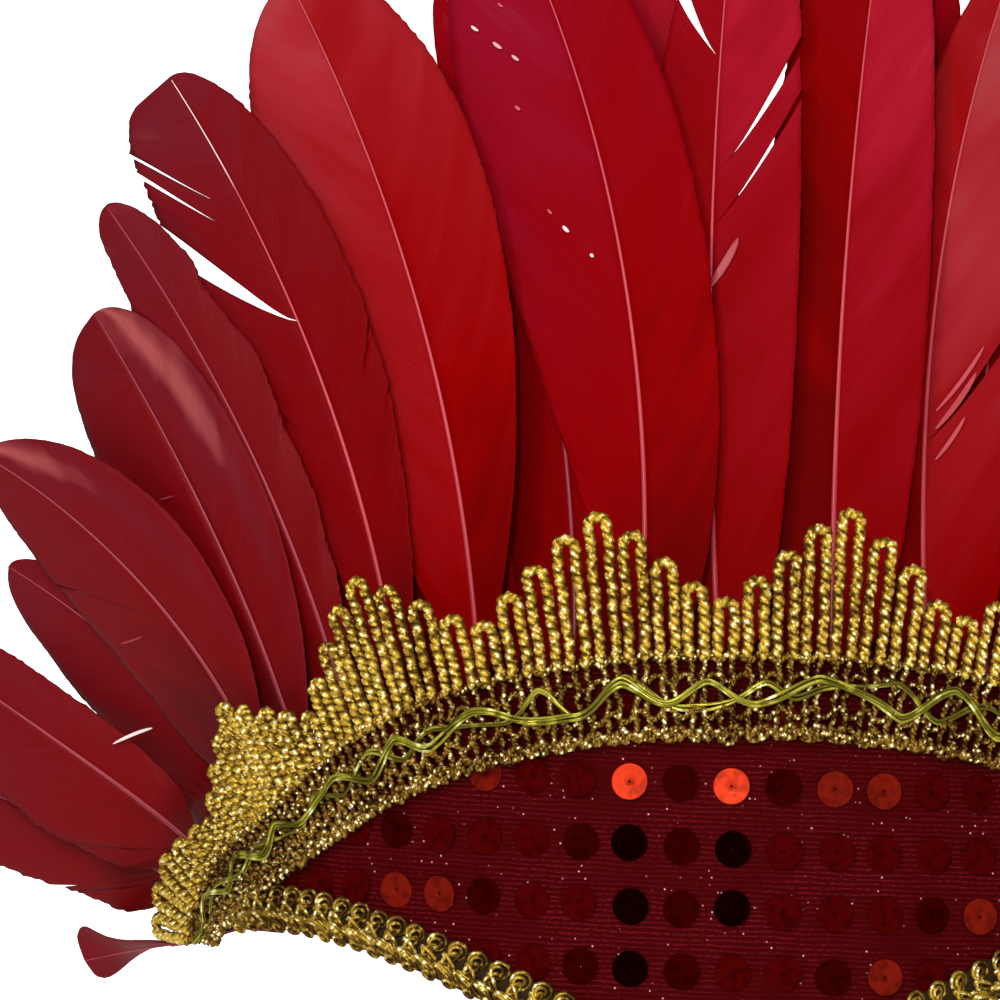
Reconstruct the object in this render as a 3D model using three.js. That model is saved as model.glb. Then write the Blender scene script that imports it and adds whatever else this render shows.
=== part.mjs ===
// Carnival feather headdress, in millimetres, +Z up.
// The wearer looks along -Y, so +X is on the right of somebody who faces the headdress.
// The origin is the middle of the head opening, level with the forehead panel.
import * as THREE from 'three';

// Head band
const BAND_RADIUS = 96;            // outer face of the forehead panel
const PANEL_WALL = 2.4;            // fabric over its stiff base
const FIT_GAP = 0.3;               // clearance between neighbouring pieces
const UNROLL_RADIUS = 98;          // radius at which lengths along the band are measured
const PANEL_HALF_LENGTH = 118;     // from the middle to a tip, along the band
const PANEL_STATIONS = 28;

// Crown lace: a repeat is one scallop of hairpin loops
const LACE_GAP = 0.55;             // its flat stretches still clear the panel
const LACE_BACK_RADIUS = BAND_RADIUS + LACE_GAP;
const LACE_THICKNESS = 1.6;
const LACE_HALF_REPEATS = 3.75;    // repeats from the middle to a cut end
const LACE_LOOPS_PER_REPEAT = 8;
const LACE_PEAK_PHASE = 0.42;      // the middle of the band lies this far past a peak
const LACE_PEAK_HEIGHT = 36.7;
const LACE_VALLEY_HEIGHT = 21.5;
const LACE_LOOP_END = 2.0;         // cord above the end of a loop's slit
const LACE_CUSP_DROP = 1.7;        // notch between the tops of two loops
const LACE_LOOP_RELIEF = 0.1;      // how much thicker a loop's slit end is than its tip

// Edge braid
const BRAID_HALF_WIDTH = 4.0;
const BRAID_THICKNESS = 1.7;
const BRAID_PITCH = 3.6;           // one loop of the gimp
const BRAID_HALF_LENGTH = 95.4;
const BRAID_SCALLOP = 0.55;        // how far a loop stands out past the notch beside it
const BRAID_LOOP_RELIEF = 0.35;    // and how much higher it is
const BRAID_RIDGE_PLACE = 0.26;    // a ridge's distance from its edge, as a share of the width
const BRAID_GROOVE = 0.5;          // depth of the groove between the two rows
const BRAID_END_GAP = 0.5;         // clearance to the lace that covers its upper edge

// Head strap
const STRAP_WIDTH = 12;
const STRAP_THICKNESS = 1.2;
const STRAP_MID_HEIGHT = -2;
const STRAP_FRONT_RADIUS = 86.6;
const STRAP_FRONT_ANGLES = [57, 62, 67];
const STRAP_STEPS = 40;

// Feathers
const QUILL_RADIUS = 90.3;         // the quills stand on this circle, inside the panel
const FAN_FRONT_LEAN = THREE.MathUtils.degToRad(17);   // backward lean in the middle
const FAN_SIDE_LEAN = THREE.MathUtils.degToRad(5);     // and at the tips
const FAN_LEAN_RATE = 1.5;         // how fast the lean changes with the angle round the band
const FAN_FACING = 0.35;           // far feathers face this share of their angle round the band
const TIP_FACING = 0.8;            // the outermost vanes turn this far towards the front
const TIP_FACING_ANGLES = [48, 60];    // root angles over which they start to
const TIP_FACING_LENGTHS = [13, 28];   // lengths of shaft over which one turns
const FAN_TURN_LENGTH = 16;        // sideways reach over which they turn to face the front
const FAN_SPREAD = 1.3;            // how fast neighbouring feathers turn apart, per radian of band
const SHINGLE_SLOPE = 0.20;        // each vane rises towards the photo's right by this slope
const BACK_LAYER_DEPTH = 7.5;      // how far the second layer lies behind the first
const BACK_LAYER_FROM = 0.9;        // a feather in the second layer has the deeper dye
const BACK_LAYER_START = 5;        // distance from the quill's end where it starts to fall back
const BACK_LAYER_END = 36;
const TIP_SWEEP = 4.0;             // backward sweep of a tip
const QUILL_HALF_WIDTH = 1.2;
const QUILL_HALF_THICKNESS = 0.9;
const QUILL_EDGE = 0.5;            // thickness at a quill's sides, as a share of its middle
const VANE_HALF_THICKNESS = 0.3;
const SHAFT_RIDGE = 0.75;          // the shaft's height above the middle of the vane
const SHAFT_TAPER = 0.5;           // the share of it that is gone at the tip
const VANE_FOOT_POWER = 0.4;       // how fast a vane widens from its foot
const VANE_TIP_POWER = 0.5;        // and how fast it narrows towards its tip
const AHEAD_STEP = 0.01;           // a short step along a shaft, for its direction
const BESIDE_STEP = 1e-4;          // and a small turn towards its neighbour, in radians
const VANE_SECTIONS = [0.05, 0.14, 0.29, 0.46, 0.63, 0.78, 0.89, 0.96, 0.995];

// Half of the band, measured from the middle along the unrolled band
const PANEL_ROWS = [
  { along: 0, top: 38.6, bottom: -32.2 },
  { along: 10, top: 38.4, bottom: -29.4 },
  { along: 24.7, top: 37.0, bottom: -23.2 },
  { along: 43, top: 33.4, bottom: -15.4 },
  { along: 59.3, top: 27.4, bottom: -9.8 },
  { along: 75.9, top: 18.4, bottom: -6.5 },
  { along: 92, top: 8.2, bottom: -6.4 },
  { along: 108, top: -2.4, bottom: -8.9 },
  { along: 118, top: -4.8, bottom: -9.8 },
];

// The lace's lower edge; tilt is the direction of its loops, in degrees from upright
const LACE_ROWS = [
  { repeats: 0, along: 0, up: 24.5, tilt: 0, scale: 1 },
  { repeats: 0.455, along: 15.7, up: 24.1, tilt: 4, scale: 1 },
  { repeats: 1.02, along: 35, up: 21.2, tilt: 12, scale: 1 },
  { repeats: 1.49, along: 50.5, up: 16.6, tilt: 19, scale: 1 },
  { repeats: 2.1, along: 65.8, up: 9.6, tilt: 31, scale: 0.95 },
  { repeats: 2.61, along: 77, up: 3.4, tilt: 42, scale: 0.88 },
  { repeats: 3.0, along: 86, up: -0.6, tilt: 50, scale: 0.85 },
  { repeats: 3.3, along: 93, up: -4.3, tilt: 62, scale: 0.8 },
  { repeats: 3.58, along: 98, up: -7.8, tilt: 80, scale: 0.74 },
  { repeats: 3.75, along: 99.5, up: -9.6, tilt: 92, scale: 0.7 },
];

// Heights and front faces of the lace's bands, from the lower edge to the loops
const LACE_BANDS = [
  { name: 'lower edge', height: 0, relief: -0.3, slitFrom: 0.39 },
  { name: 'top of the tinsel', height: 9.3, relief: 0.2, slitFrom: 0.3 },
  { name: 'top of the net', height: 13.3, relief: -0.4, slitFrom: 0.3 },
  { name: 'foot of the loops', height: 14.9, relief: -0.1, slitFrom: 0.39 },
];

// The edge braid's middle line
const BRAID_ROWS = [
  { along: 0, up: -29.2 },
  { along: 10, up: -26.6 },
  { along: 24.7, up: -20.1 },
  { along: 43, up: -12.4 },
  { along: 53.2, up: -8.7 },
  { along: 68.9, up: -4.6 },
  { along: 86, up: -3.0 },
  { along: 98.6, up: -4.2 },
];

// The strap's course behind the ears, from a tip to the middle of the back
const STRAP_BACK_ROWS = [
  { side: 90.5, back: 4 },
  { side: 85.5, back: 42 },
  { side: 65, back: 76 },
  { side: 34, back: 96 },
  { side: 0, back: 102 },
];

// One row a feather, from the left tip to the right. root: angle round the band; foot: height of
// the quill's end; rise: the shaft's first direction, in degrees from upright to the left;
// curl: how much it turns by the tip; left and right: half widths; layer: 0 in front, 1 behind;
// bare: the length of quill below the vane; leftPowers, rightPowers: an outline of its own
const FEATHER_ROWS = [
  { root: 68.3, foot: -8.8, rise: 97, curl: 8, length: 28, left: 5.4, right: 5.4, layer: -0.7, bare: 13,
    leftPowers: [0.3, 0.2], rightPowers: [0.3, 0.2] },
  { root: 65.3, foot: -6.9, rise: 66, curl: 8, length: 76, left: 11.6, right: 12, layer: 0.45, bare: 18,
    leftPowers: [0.25, 0.3] },
  { root: 60.5, foot: -4.3, rise: 54, curl: 9, length: 84, left: 15, right: 7.8, layer: 0.1, bare: 17,
    rightPowers: [0.6, 0.3] },
  { root: 53.3, foot: -3.8, rise: 38.2, curl: 25, length: 88, left: 17, right: 10, layer: 1.3, bare: 20 },
  { root: 50.4, foot: -2.2, rise: 20.8, curl: 43.5, length: 101, left: 16, right: 12.6, layer: -0.26, bare: 22,
    leftPowers: [0.3, 0.5], rightPowers: [0.9, 0.7] },
  { root: 45.7, foot: 0.0, rise: 21.4, curl: 18.4, length: 109.5, left: 16.5, right: 12, layer: -0.12, bare: 22,
    leftPowers: [0.5, 0.36], rightPowers: [0.7, 0.5] },
  { root: 42.6, foot: 0.5, rise: 19, curl: 22, length: 106, left: 11, right: 11, layer: 1, bare: 22 },
  { root: 39.6, foot: 1.0, rise: 16.8, curl: 25.6, length: 129, left: 10.5, right: 8.6, layer: 0.03, bare: 22,
    leftPowers: [0.4, 0.9], rightPowers: [0.8, 0.85] },
  { root: 34.5, foot: 2.0, rise: 10.2, curl: 28.8, length: 147, left: 14.8, right: 11.9, layer: 0, bare: 22,
    leftPowers: [0.8, 0.18], rightPowers: [0.95, 0.7] },
  { root: 30.4, foot: 4.0, rise: 8, curl: 27, length: 136, left: 12, right: 12, layer: 1, bare: 22 },
  { root: 26.4, foot: 6.0, rise: 5.6, curl: 27.1, length: 155.5, left: 20, right: 17.4, layer: 0, bare: 22,
    leftPowers: [0.9, 0.5], rightPowers: [1.1, 0.5] },
  { root: 19.2, foot: 9.0, rise: -1, curl: 29, length: 148, left: 13.5, right: 13, layer: 1, bare: 17,
    leftPowers: [0.15, 0.5], rightPowers: [0.15, 0.5] },
  { root: 12.1, foot: 11.0, rise: -7, curl: 34.8, length: 163, left: 20.8, right: 14.2, layer: 0, bare: 23,
    leftPowers: [1.0, 0.5], rightPowers: [0.4, 0.35] },
  { root: 6.5, foot: 12.0, rise: -4.9, curl: 22.3, length: 158, left: 12, right: 12, layer: 1, bare: 24,
    rightPowers: [0.4, 0.6] },
  { root: 0.7, foot: 12.0, rise: 5.1, curl: -11.6, length: 162, left: 11.4, right: 14.3, layer: 0, bare: 24,
    rightPowers: [0.4, 0.35] },
  { root: -4.3, foot: 12.0, rise: 1.5, curl: -7.5, length: 106, left: 12, right: 12, layer: 1, bare: 24 },
  { root: -9.5, foot: 12.0, rise: -1.8, curl: -10.4, length: 164, left: 13.4, right: 13.7, layer: 0, bare: 24,
    leftPowers: [0.4, 0.35] },
  { root: -15.5, foot: 11.0, rise: 0.5, curl: -19, length: 152, left: 13, right: 13, layer: 1, bare: 23 },
  { root: -21.2, foot: 9.0, rise: 2.2, curl: -27.6, length: 152, left: 9.6, right: 16, layer: 0, bare: 23 },
  { root: -27.5, foot: 6.0, rise: -0.5, curl: -22, length: 145, left: 12.1, right: 13, layer: 0, bare: 22 },
  { root: -31.0, foot: 4.5, rise: -5, curl: -25, length: 140, left: 12, right: 12, layer: 1, bare: 22 },
  { root: -34.5, foot: 2.0, rise: -9, curl: -28, length: 146, left: 14, right: 17, layer: 0, bare: 22 },
  { root: -40.0, foot: 1.0, rise: -17, curl: -25, length: 130, left: 11, right: 11, layer: 0, bare: 22 },
  { root: -43.2, foot: 0.5, rise: -19, curl: -22, length: 108, left: 11, right: 11, layer: 1, bare: 22 },
  { root: -46.2, foot: 0.0, rise: -22, curl: -19, length: 110, left: 13, right: 14, layer: 0, bare: 22 },
  { root: -51.0, foot: -2.2, rise: -26, curl: -38, length: 106, left: 12, right: 16, layer: 0, bare: 22 },
  { root: -54.0, foot: -3.8, rise: -39, curl: -24, length: 88, left: 10, right: 11, layer: 0.25, bare: 22 },
  { root: -60.5, foot: -4.3, rise: -53, curl: -10, length: 83, left: 13, right: 13, layer: 0.25, bare: 20 },
  { root: -65.3, foot: -6.9, rise: -67, curl: -7, length: 76, left: 12, right: 15, layer: 0.15, bare: 18 },
  { root: -68.3, foot: -9.2, rise: -93, curl: -11, length: 34, left: 6.4, right: 6, layer: 0.75, bare: 13 },
];

const radians = THREE.MathUtils.degToRad;

const burgundyFabric = new THREE.MeshStandardMaterial({ color: 0x55080f, roughness: 0.7 });
const goldCord = new THREE.MeshStandardMaterial({ color: 0xb8a030, roughness: 0.35, metalness: 0.9 });
const redFeather = new THREE.MeshStandardMaterial({ color: 0x8b0a14, roughness: 0.75 });
const deepRedFeather = new THREE.MeshStandardMaterial({ color: 0x650610, roughness: 0.8 });
const redElastic = new THREE.MeshStandardMaterial({ color: 0x5a0a12, roughness: 0.9 });

// A table's column at a value of its key column, on a smooth curve through the rows.
function readTable(rows, key, column, value) {
  const last = rows.length - 1;
  let i = 0;
  while (i < last - 1 && rows[i + 1][key] < value) i += 1;
  const slope = (a, b) => (rows[b][column] - rows[a][column]) / (rows[b][key] - rows[a][key]);
  const run = rows[i + 1][key] - rows[i][key];
  const t = Math.min(Math.max((value - rows[i][key]) / run, 0), 1);
  const startSlope = i === 0 ? slope(0, 1) : slope(i - 1, i + 1);
  const endSlope = i + 1 === last ? slope(last - 1, last) : slope(i, i + 2);
  return (2 * t ** 3 - 3 * t ** 2 + 1) * rows[i][column] + (t ** 3 - 2 * t ** 2 + t) * run * startSlope
    + (3 * t ** 2 - 2 * t ** 3) * rows[i + 1][column] + (t ** 3 - t ** 2) * run * endSlope;
}

// A point on the band: along is measured to the photo's left from the middle of the front.
function bandPoint(along, up, radius) {
  const angle = along / UNROLL_RADIUS;
  return new THREE.Vector3(-radius * Math.sin(angle), -radius * Math.cos(angle), up);
}

function geometryOf(points, triangles) {
  const geometry = new THREE.BufferGeometry();
  geometry.setAttribute('position', new THREE.Float32BufferAttribute(points.flatMap((p) => p.toArray()), 3));
  geometry.setIndex(triangles);
  geometry.computeVertexNormals();
  return geometry;
}

// A solid through rings of points. Seen from the first ring towards the last, a ring runs clockwise.
function loftRings(rings) {
  const size = rings[0].length;
  const triangles = [];
  for (let r = 0; r + 1 < rings.length; r += 1) {
    for (let k = 0; k < size; k += 1) {
      const next = (k + 1) % size;
      const [a, b, c, d] = [r * size + k, r * size + next, (r + 1) * size + next, (r + 1) * size + k];
      triangles.push(a, b, c, a, c, d);
    }
  }
  const end = (rings.length - 1) * size;
  for (let k = 1; k + 1 < size; k += 1) {
    triangles.push(0, k + 1, k, end, end + k, end + k + 1);
  }
  return geometryOf(rings.flat(), triangles);
}

// Forehead panel: a curved shell with the outline of a long leaf.
function foreheadPanel() {
  const rings = [];
  for (let i = 0; i <= PANEL_STATIONS; i += 1) {
    const along = PANEL_HALF_LENGTH * (1 - (2 * i) / PANEL_STATIONS);
    const top = readTable(PANEL_ROWS, 'along', 'top', Math.abs(along));
    const bottom = readTable(PANEL_ROWS, 'along', 'bottom', Math.abs(along));
    const inner = BAND_RADIUS - PANEL_WALL;
    rings.push([
      bandPoint(along, bottom, BAND_RADIUS), bandPoint(along, bottom, inner),
      bandPoint(along, top, inner), bandPoint(along, top, BAND_RADIUS),
    ]);
  }
  return loftRings(rings);
}

// Height of the lace's loops at a number of repeats from the middle.
function loopHeight(repeats) {
  const phase = repeats + LACE_PEAK_PHASE;
  const nearPeak = 1 - 2 * Math.abs(phase - Math.round(phase));
  return LACE_VALLEY_HEIGHT + (LACE_PEAK_HEIGHT - LACE_VALLEY_HEIGHT) * nearPeak;
}

// A point of the lace, at a number of repeats to the left and a height over its lower edge.
function lacePoint(repeats, height, radius) {
  const side = Math.sign(repeats) || 1;
  const at = (column) => readTable(LACE_ROWS, 'repeats', column, Math.abs(repeats));
  const tilt = radians(at('tilt'));
  const reach = height * at('scale');
  return bandPoint(side * (at('along') + reach * Math.sin(tilt)), at('up') + reach * Math.cos(tilt), radius);
}

// Crown lace: columns of cord, slit and cord for each loop, on bands of different height.
function crownLace() {
  const loops = Math.round(2 * LACE_HALF_REPEATS * LACE_LOOPS_PER_REPEAT);
  const columns = 3 * loops;
  const rows = LACE_BANDS.length + 2;
  const pitch = 1 / LACE_LOOPS_PER_REPEAT;
  const topOf = (loop) => loopHeight(LACE_HALF_REPEATS - (Math.min(Math.max(loop, 0), loops - 1) + 0.5) * pitch);
  const open = (column, row) => column % 3 === 1 && (row === 1 || row === 3);

  const points = [];
  for (const face of ['back', 'front']) {
    for (let column = 0; column <= columns; column += 1) {
      const loop = Math.floor(column / 3);
      const place = column % 3;
      for (let row = 0; row < rows; row += 1) {
        const band = LACE_BANDS[Math.min(row, LACE_BANDS.length - 1)];
        const across = [0, band.slitFrom, 1 - band.slitFrom][place];
        const top = place === 0 ? Math.min(topOf(loop - 1), topOf(loop)) - LACE_CUSP_DROP : topOf(loop);
        const below = place === 0 ? LACE_LOOP_END / 2 : LACE_LOOP_END;
        const height = row < LACE_BANDS.length ? band.height : top - (rows - 1 - row) * below;
        const relief = row < LACE_BANDS.length ? band.relief : LACE_LOOP_RELIEF * (rows - 1 - row);
        const radius = face === 'back' ? LACE_BACK_RADIUS : LACE_BACK_RADIUS + LACE_THICKNESS + relief;
        points.push(lacePoint(LACE_HALF_REPEATS - (loop + across) * pitch, height, radius));
      }
    }
  }

  const frontStart = (columns + 1) * rows;
  const at = (column, row) => column * rows + row;
  const triangles = [];
  const wall = (a, b) => triangles.push(a, b, b + frontStart, a, b + frontStart, a + frontStart);
  const filled = (column, row) => column >= 0 && column < columns && row >= 0 && row < rows - 1
    && !open(column, row);
  for (let column = 0; column < columns; column += 1) {
    for (let row = 0; row < rows - 1; row += 1) {
      if (!filled(column, row)) continue;
      const [a, b, c, d] = [at(column, row), at(column + 1, row), at(column + 1, row + 1), at(column, row + 1)];
      triangles.push(a, c, b, a, d, c);
      triangles.push(a + frontStart, b + frontStart, c + frontStart, a + frontStart, c + frontStart, d + frontStart);
      if (!filled(column, row - 1)) wall(a, b);
      if (!filled(column + 1, row)) wall(b, c);
      if (!filled(column, row + 1)) wall(c, d);
      if (!filled(column - 1, row)) wall(d, a);
    }
  }
  return geometryOf(points, triangles);
}

// Edge braid: a low double ridge with a scalloped outline, one scallop a loop of the gimp.
function edgeBraid() {
  const steps = 2 * Math.round((2 * BRAID_HALF_LENGTH) / BRAID_PITCH);
  const rings = [];
  for (let i = 0; i <= steps; i += 1) {
    const along = BRAID_HALF_LENGTH * (1 - (2 * i) / steps);
    const reach = Math.abs(along);
    const middle = readTable(BRAID_ROWS, 'along', 'up', reach);
    const half = BRAID_HALF_WIDTH - (i % 2) * BRAID_SCALLOP;
    const slope = readTable(BRAID_ROWS, 'along', 'up', reach + 1) - middle;
    const upright = half * Math.hypot(1, slope);
    const laceEdge = readTable(LACE_ROWS, 'along', 'up', reach);
    const upper = Math.min(middle + upright, laceEdge - BRAID_END_GAP);
    const lower = middle - upright;
    const back = BAND_RADIUS + FIT_GAP;
    const front = back + BRAID_THICKNESS - (i % 2) * BRAID_LOOP_RELIEF;
    const ridge = (upper - lower) * BRAID_RIDGE_PLACE;
    rings.push([
      bandPoint(along, lower, back), bandPoint(along, upper, back),
      bandPoint(along, upper - ridge, front), bandPoint(along, (upper + lower) / 2, front - BRAID_GROOVE),
      bandPoint(along, lower + ridge, front),
    ]);
  }
  return loftRings(rings);
}

// Head strap: one flat elastic from tip to tip, round the back of the head.
function headStrap() {
  const half = STRAP_FRONT_ANGLES.map((angle) => new THREE.Vector3(
    STRAP_FRONT_RADIUS * Math.sin(radians(angle)), -STRAP_FRONT_RADIUS * Math.cos(radians(angle)), 0));
  half.push(...STRAP_BACK_ROWS.map((row) => new THREE.Vector3(row.side, row.back, 0)));
  const mirrored = half.slice(0, -1).reverse().map((p) => new THREE.Vector3(-p.x, p.y, 0));
  const course = new THREE.CatmullRomCurve3([...half, ...mirrored]);
  const rings = [];
  for (let i = 0; i <= STRAP_STEPS; i += 1) {
    const middle = course.getPointAt(i / STRAP_STEPS);
    const ahead = course.getTangentAt(i / STRAP_STEPS);
    const outward = new THREE.Vector3(ahead.y, -ahead.x, 0).multiplyScalar(STRAP_THICKNESS / 2);
    const corner = (side, up) => middle.clone().addScaledVector(outward, side)
      .setZ(STRAP_MID_HEIGHT + up * (STRAP_WIDTH / 2));
    rings.push([corner(1, -1), corner(-1, -1), corner(-1, 1), corner(1, 1)]);
  }
  return loftRings(rings);
}

// Half width of a vane, as a share of its widest, from its foot (0) to its tip (1). Small powers
// make a blunt end.
function vaneOutline(t, [foot, tip] = [VANE_FOOT_POWER, VANE_TIP_POWER]) {
  const widest = foot / (foot + tip);
  return (t / widest) ** foot * ((1 - t) / (1 - widest)) ** tip;
}

// A point of a feather's shaft. Behind the panel it follows the band, then it turns outwards and
// leans back. With a turn, it is the point of a neighbour whose root stands that much to the left.
function shaftPoint(row, length, turn = 0) {
  const root = radians(row.root) + turn;
  const start = radians(row.rise) + FAN_SPREAD * turn;
  const bend = radians(row.curl) / row.length;
  const direction = start + bend * length;
  const left = (Math.cos(start) - Math.cos(direction)) / bend;
  const up = (Math.sin(direction) - Math.sin(start)) / bend;
  const leftAt = (angle) => new THREE.Vector3(-Math.cos(angle), Math.sin(angle), 0);
  const outward = new THREE.Vector3(-Math.sin(root), -Math.cos(root), 0);
  const turned = left ** 3 / (left ** 2 + FAN_TURN_LENGTH ** 2);
  const lean = FAN_SIDE_LEAN + (FAN_FRONT_LEAN - FAN_SIDE_LEAN) * Math.max(0, Math.cos(FAN_LEAN_RATE * root));
  const settle = THREE.MathUtils.smoothstep(length, BACK_LAYER_START, BACK_LAYER_END);
  const depth = row.layer * BACK_LAYER_DEPTH * settle + TIP_SWEEP * (length / row.length) ** 2;
  return new THREE.Vector3(0, 0, row.foot + up * Math.cos(lean))
    .addScaledVector(outward, QUILL_RADIUS - up * Math.sin(lean) - depth)
    .addScaledVector(leftAt(root), left - turned)
    .addScaledVector(leftAt(FAN_FACING * root), turned);
}

// Feather: a thin lens with a raised shaft. The vane lies on the surface through the neighbouring
// shafts, tilted a little so that it overlaps the next feather.
function feather(row) {
  const vaneLength = row.length - row.bare;
  const lengths = [0, row.bare, ...VANE_SECTIONS.map((t) => row.bare + t * vaneLength)];
  const rings = lengths.map((length) => {
    const middle = shaftPoint(row, length);
    const along = shaftPoint(row, length + AHEAD_STEP).sub(middle).normalize();
    const across = shaftPoint(row, length, BESIDE_STEP).sub(middle);
    across.y *= 1 - TIP_FACING * THREE.MathUtils.smoothstep(Math.abs(row.root), ...TIP_FACING_ANGLES)
      * THREE.MathUtils.smoothstep(length, ...TIP_FACING_LENGTHS);
    across.addScaledVector(along, -across.dot(along)).normalize();
    const face = new THREE.Vector3().crossVectors(along, across);
    const settle = THREE.MathUtils.smoothstep(length, BACK_LAYER_START, BACK_LAYER_END);
    across.addScaledVector(face, -SHINGLE_SLOPE * settle).normalize();
    face.crossVectors(along, across);

    const t = (length - row.bare) / vaneLength;
    const onVane = t > 0;
    const leftHalf = onVane ? row.left * vaneOutline(t, row.leftPowers) : QUILL_HALF_WIDTH;
    const rightHalf = onVane ? row.right * vaneOutline(t, row.rightPowers) : QUILL_HALF_WIDTH;
    const edge = onVane ? VANE_HALF_THICKNESS : QUILL_HALF_THICKNESS * QUILL_EDGE;
    const ridge = onVane ? SHAFT_RIDGE * (1 - SHAFT_TAPER * t) : QUILL_HALF_THICKNESS;
    const rear = onVane ? VANE_HALF_THICKNESS : QUILL_HALF_THICKNESS;
    const point = (side, out) => middle.clone().addScaledVector(across, side).addScaledVector(face, out);
    return [
      point(leftHalf, edge), point(0, ridge), point(-rightHalf, edge),
      point(-rightHalf, -edge), point(0, -rear), point(leftHalf, -edge),
    ];
  });
  return loftRings(rings);
}

const headdress = new THREE.Group();

function addPiece(name, geometry, material) {
  const piece = new THREE.Mesh(geometry, material);
  piece.name = name;
  headdress.add(piece);
}

addPiece('forehead_panel', foreheadPanel(), burgundyFabric);
addPiece('crown_lace', crownLace(), goldCord);
addPiece('edge_braid', edgeBraid(), goldCord);
addPiece('head_strap', headStrap(), redElastic);
FEATHER_ROWS.forEach((row, i) => {
  const name = `feather_${String(i + 1).padStart(2, '0')}`;
  addPiece(name, feather(row), row.layer < BACK_LAYER_FROM ? redFeather : deepRedFeather);
});

export default headdress;
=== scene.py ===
"""Carnival feather headdress: dyed feathers, gold lace, gimp braid and a sequined forehead panel.

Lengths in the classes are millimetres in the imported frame: +Z up, the wearer looks along -Y.
Meshes are written in metres. Each piece is a surface of two parameters, worked out as whole arrays.
"""
import logging
from dataclasses import dataclass, field
from enum import Enum

import bpy
import numpy as np
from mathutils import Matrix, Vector


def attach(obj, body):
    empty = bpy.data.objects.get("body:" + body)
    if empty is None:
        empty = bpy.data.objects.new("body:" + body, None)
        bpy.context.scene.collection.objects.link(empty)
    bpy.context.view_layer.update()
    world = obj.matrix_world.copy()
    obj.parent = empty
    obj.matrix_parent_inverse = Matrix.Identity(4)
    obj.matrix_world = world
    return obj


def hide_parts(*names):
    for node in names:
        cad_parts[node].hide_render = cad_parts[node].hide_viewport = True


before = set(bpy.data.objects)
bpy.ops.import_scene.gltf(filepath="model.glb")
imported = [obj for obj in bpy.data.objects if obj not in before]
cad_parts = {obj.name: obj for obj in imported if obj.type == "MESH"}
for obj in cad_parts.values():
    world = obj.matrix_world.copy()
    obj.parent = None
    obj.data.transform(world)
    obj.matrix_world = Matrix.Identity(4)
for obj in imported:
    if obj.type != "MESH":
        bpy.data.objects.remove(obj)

LOG = logging.getLogger("headdress")
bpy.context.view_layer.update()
MM = 0.001
TURN = 2.0 * np.pi

Array = np.ndarray
Colour = tuple[float, float, float]
Place = tuple[float, float, float]
Feed = bpy.types.NodeSocket | float | tuple[float, ...]


# Small tools for arrays

def smoothstep(value: Array, low: float, high: float) -> Array:
    """Eases from 0 at low to 1 at high: x * x * (3 - 2 x)."""
    x = np.clip((np.asarray(value, float) - low) / (high - low), 0.0, 1.0)
    return x * x * (3.0 - 2.0 * x)


def unit(vectors: Array) -> Array:
    """Vectors of length one along the last axis."""
    return vectors / (np.linalg.norm(vectors, axis=-1, keepdims=True) + 1e-12)


def read_table(rows: Array, value: Array) -> Array:
    """Reads a table on a smooth curve through its rows.

    Between two rows the curve is a Hermite cubic, and a row's slope is that of the chord
    between its neighbours.

    Args:
        rows: one row per key, with the key in the first column.
        value: keys to read at.

    Returns:
        The other columns at those keys, on a new last axis.
    """
    keys, data = rows[:, 0], rows[:, 1:]
    slopes = np.gradient(data, axis=0) / np.gradient(keys)[:, None]
    value = np.asarray(value, float)
    i = np.clip(np.searchsorted(keys, value) - 1, 0, len(keys) - 2)
    run = (keys[i + 1] - keys[i])[..., None]
    t = np.clip((value[..., None] - keys[i][..., None]) / run, 0.0, 1.0)
    return ((2 * t**3 - 3 * t**2 + 1) * data[i] + (t**3 - 2 * t**2 + t) * run * slopes[i]
            + (3 * t**2 - 2 * t**3) * data[i + 1] + (t**3 - t**2) * run * slopes[i + 1])


def soft_noise(size: int, grain: int, seed: int) -> Array:
    """A smooth random curve: an eased line from knot to knot, each between -1 and 1.

    Args:
        size: how many values.
        grain: values from one knot to the next.
        seed: the random seed.

    Returns:
        The values.
    """
    knots = np.random.default_rng(seed).uniform(-1.0, 1.0, max(size // grain + 3, 4))
    place = np.linspace(0.0, len(knots) - 1.001, size)
    i = place.astype(int)
    t = smoothstep(place - i, 0.0, 1.0)
    return knots[i] * (1.0 - t) + knots[i + 1] * t


def run_length(paths: Array) -> Array:
    """Distance from the start of each path to each of its stations, for shape (paths, stations, 3)."""
    steps = np.linalg.norm(np.diff(paths, axis=1), axis=-1)
    return np.concatenate([np.zeros((len(paths), 1)), np.cumsum(steps, 1)], 1)


def hairpin(stations: int, straight: float) -> tuple[Array, Array]:
    """A hairpin: along one leg, round a half circle and back along the other leg.

    For s from 0 to 1 the reach is clip(s / straight) - clip((s - 1 + straight) / straight), and the turn
    runs from 0 to pi between the legs.

    Args:
        stations: points along it.
        straight: share of it that one leg takes.

    Returns:
        The reach from 0 to 1 and back, and the turn, both of shape (1, stations).
    """
    share = np.linspace(0.0, 1.0, stations)[None, :]
    reach = np.clip(share / straight, 0, 1) - np.clip((share - 1 + straight) / straight, 0, 1)
    return reach, np.pi * np.clip((share - straight) / (1 - 2 * straight), 0, 1)


# Meshes

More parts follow.
